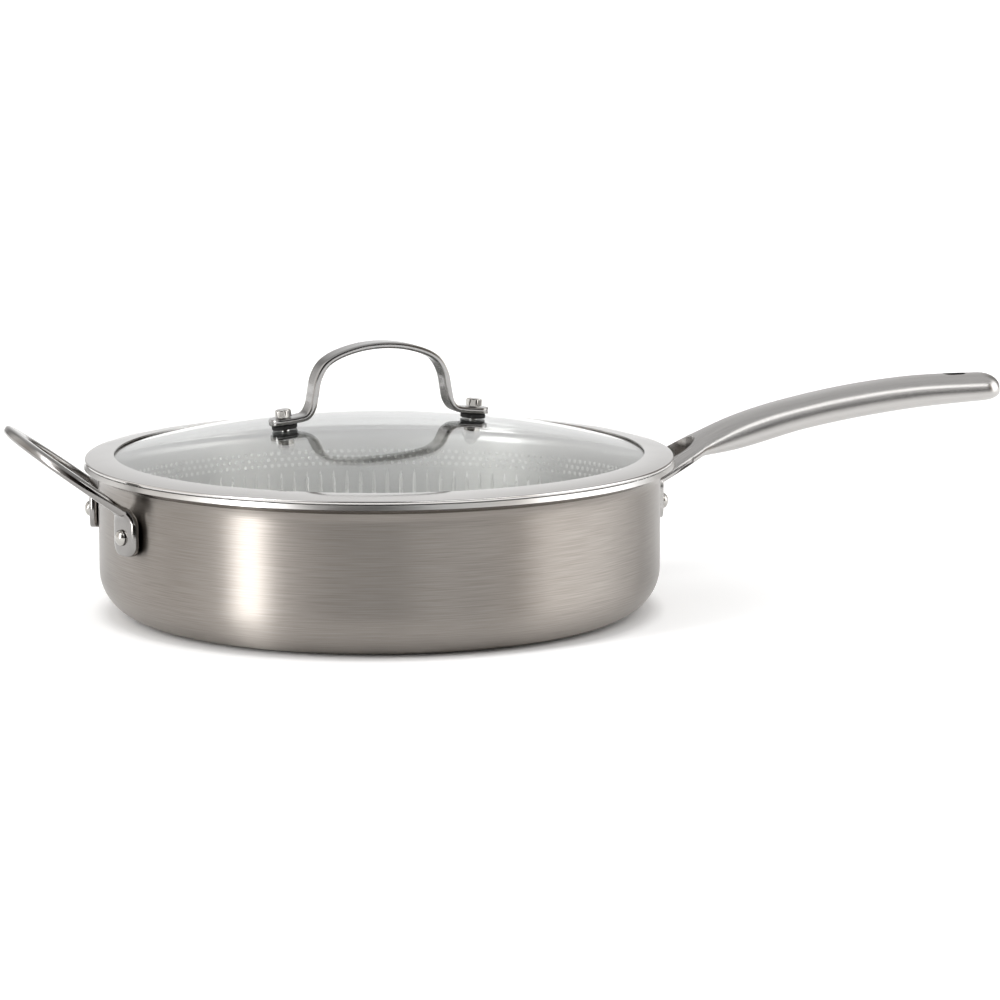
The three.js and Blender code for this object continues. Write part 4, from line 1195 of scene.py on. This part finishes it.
def floor():
    """A plain pale floor that renders white and still takes the pan's shadow, with a painted contact shadow
    round the pan's foot.
    """
    material, tree = new_material("studio_floor_matt_white")
    place = add(tree, "ShaderNodeTexCoord").outputs["Object"]
    distance = add(tree, "ShaderNodeVectorMath", {0: place}, operation="LENGTH").outputs["Value"]
    reach = FLOOR_GLOW[-1][0]
    ramp = add(tree, "ShaderNodeValToRGB", {0: remapped(tree, distance, (0.0, reach))})
    fill_ramp(ramp, [(away / reach, (glow, glow, glow, 1)) for away, glow in FLOOR_GLOW])
    path = add(tree, "ShaderNodeLightPath").outputs
    seen = path["Is Camera Ray"]
    for ray in ("Is Glossy Ray", "Is Transmission Ray"):
        seen = calc(tree, "MAXIMUM", seen, path[ray])
    shader = add(tree, "ShaderNodeBsdfPrincipled", {
        "Base Color": colour("#E8E8E8"), "Roughness": 0.9, "Emission Color": colour("#FFFFFF"),
        "Emission Strength": calc(tree, "MULTIPLY", ramp, seen),
    })
    add(tree, "ShaderNodeOutputMaterial", {"Surface": shader})
    turned("studio_floor", [[(FLOOR_RADIUS, 0), (0, 0)]], [material])


def room():
    """The room: a white backdrop, softboxes to the sides, dark behind the camera and a pale ceiling."""
    world = bpy.data.worlds.new("studio_room")
    world.use_nodes = True
    bpy.context.scene.world = world
    tree = world.node_tree
    tree.nodes.clear()
    direction = add(tree, "ShaderNodeTexCoord").outputs["Generated"]
    way = add(tree, "ShaderNodeSeparateXYZ", {0: direction}).outputs
    azimuth = calc(tree, "ARCTAN2", way["Y"], way["X"])
    turn = calc(tree, "SUBTRACT", azimuth, TOWARDS_CAMERA + HALF_TURN)
    bearing = calc(tree, "FRACT", calc(tree, "DIVIDE", turn, WHOLE_TURN))
    ramp = add(tree, "ShaderNodeValToRGB", {0: bearing})
    fill_ramp(ramp, [
        (turn_share(angle), [level * part for part in colour(code)]) for angle, code, level in ROOM
    ])
    rise = remapped(tree, way["Z"], CEILING_CLIMB)
    forwards = (math.cos(TOWARDS_CAMERA), math.sin(TOWARDS_CAMERA), 0)
    nearness = add(tree, "ShaderNodeVectorMath", {0: direction, 1: forwards}, operation="DOT_PRODUCT")
    above = remapped(tree, nearness.outputs["Value"], (-1.0, 1.0), CEILING_LIGHT)
    sky = blend(tree, rise, ramp, above)
    shade = add(tree, "ShaderNodeBackground", {"Color": sky, "Strength": 1.0})
    add(tree, "ShaderNodeOutputWorld", {"Surface": shade})


def lamp(name, place, target, width, height, power):
    """A flat soft lamp aimed at a point."""
    light = bpy.data.lights.new(name, "AREA")
    light.shape = "RECTANGLE"
    light.size = width
    light.size_y = height
    light.energy = power
    piece = linked(name, light)
    piece.location = place
    piece.rotation_euler = (Vector(target) - Vector(place)).to_track_quat("-Z", "Y").to_euler()


def camera():
    """The camera at the photograph's angle."""
    lens = bpy.data.cameras.new("camera")
    lens.sensor_width = SENSOR
    lens.lens = CAMERA_LENS
    lens.clip_end = FLOOR_RADIUS
    piece = linked("camera", lens)
    piece.location = CAMERA_PLACE
    piece.rotation_euler = (QUARTER_TURN - CAMERA_PITCH, 0, -CAMERA_TURN)
    bpy.context.scene.camera = piece


floor()
room()
for row in LAMPS:
    lamp(*row)
camera()
bpy.context.scene.view_settings.view_transform = "Standard"
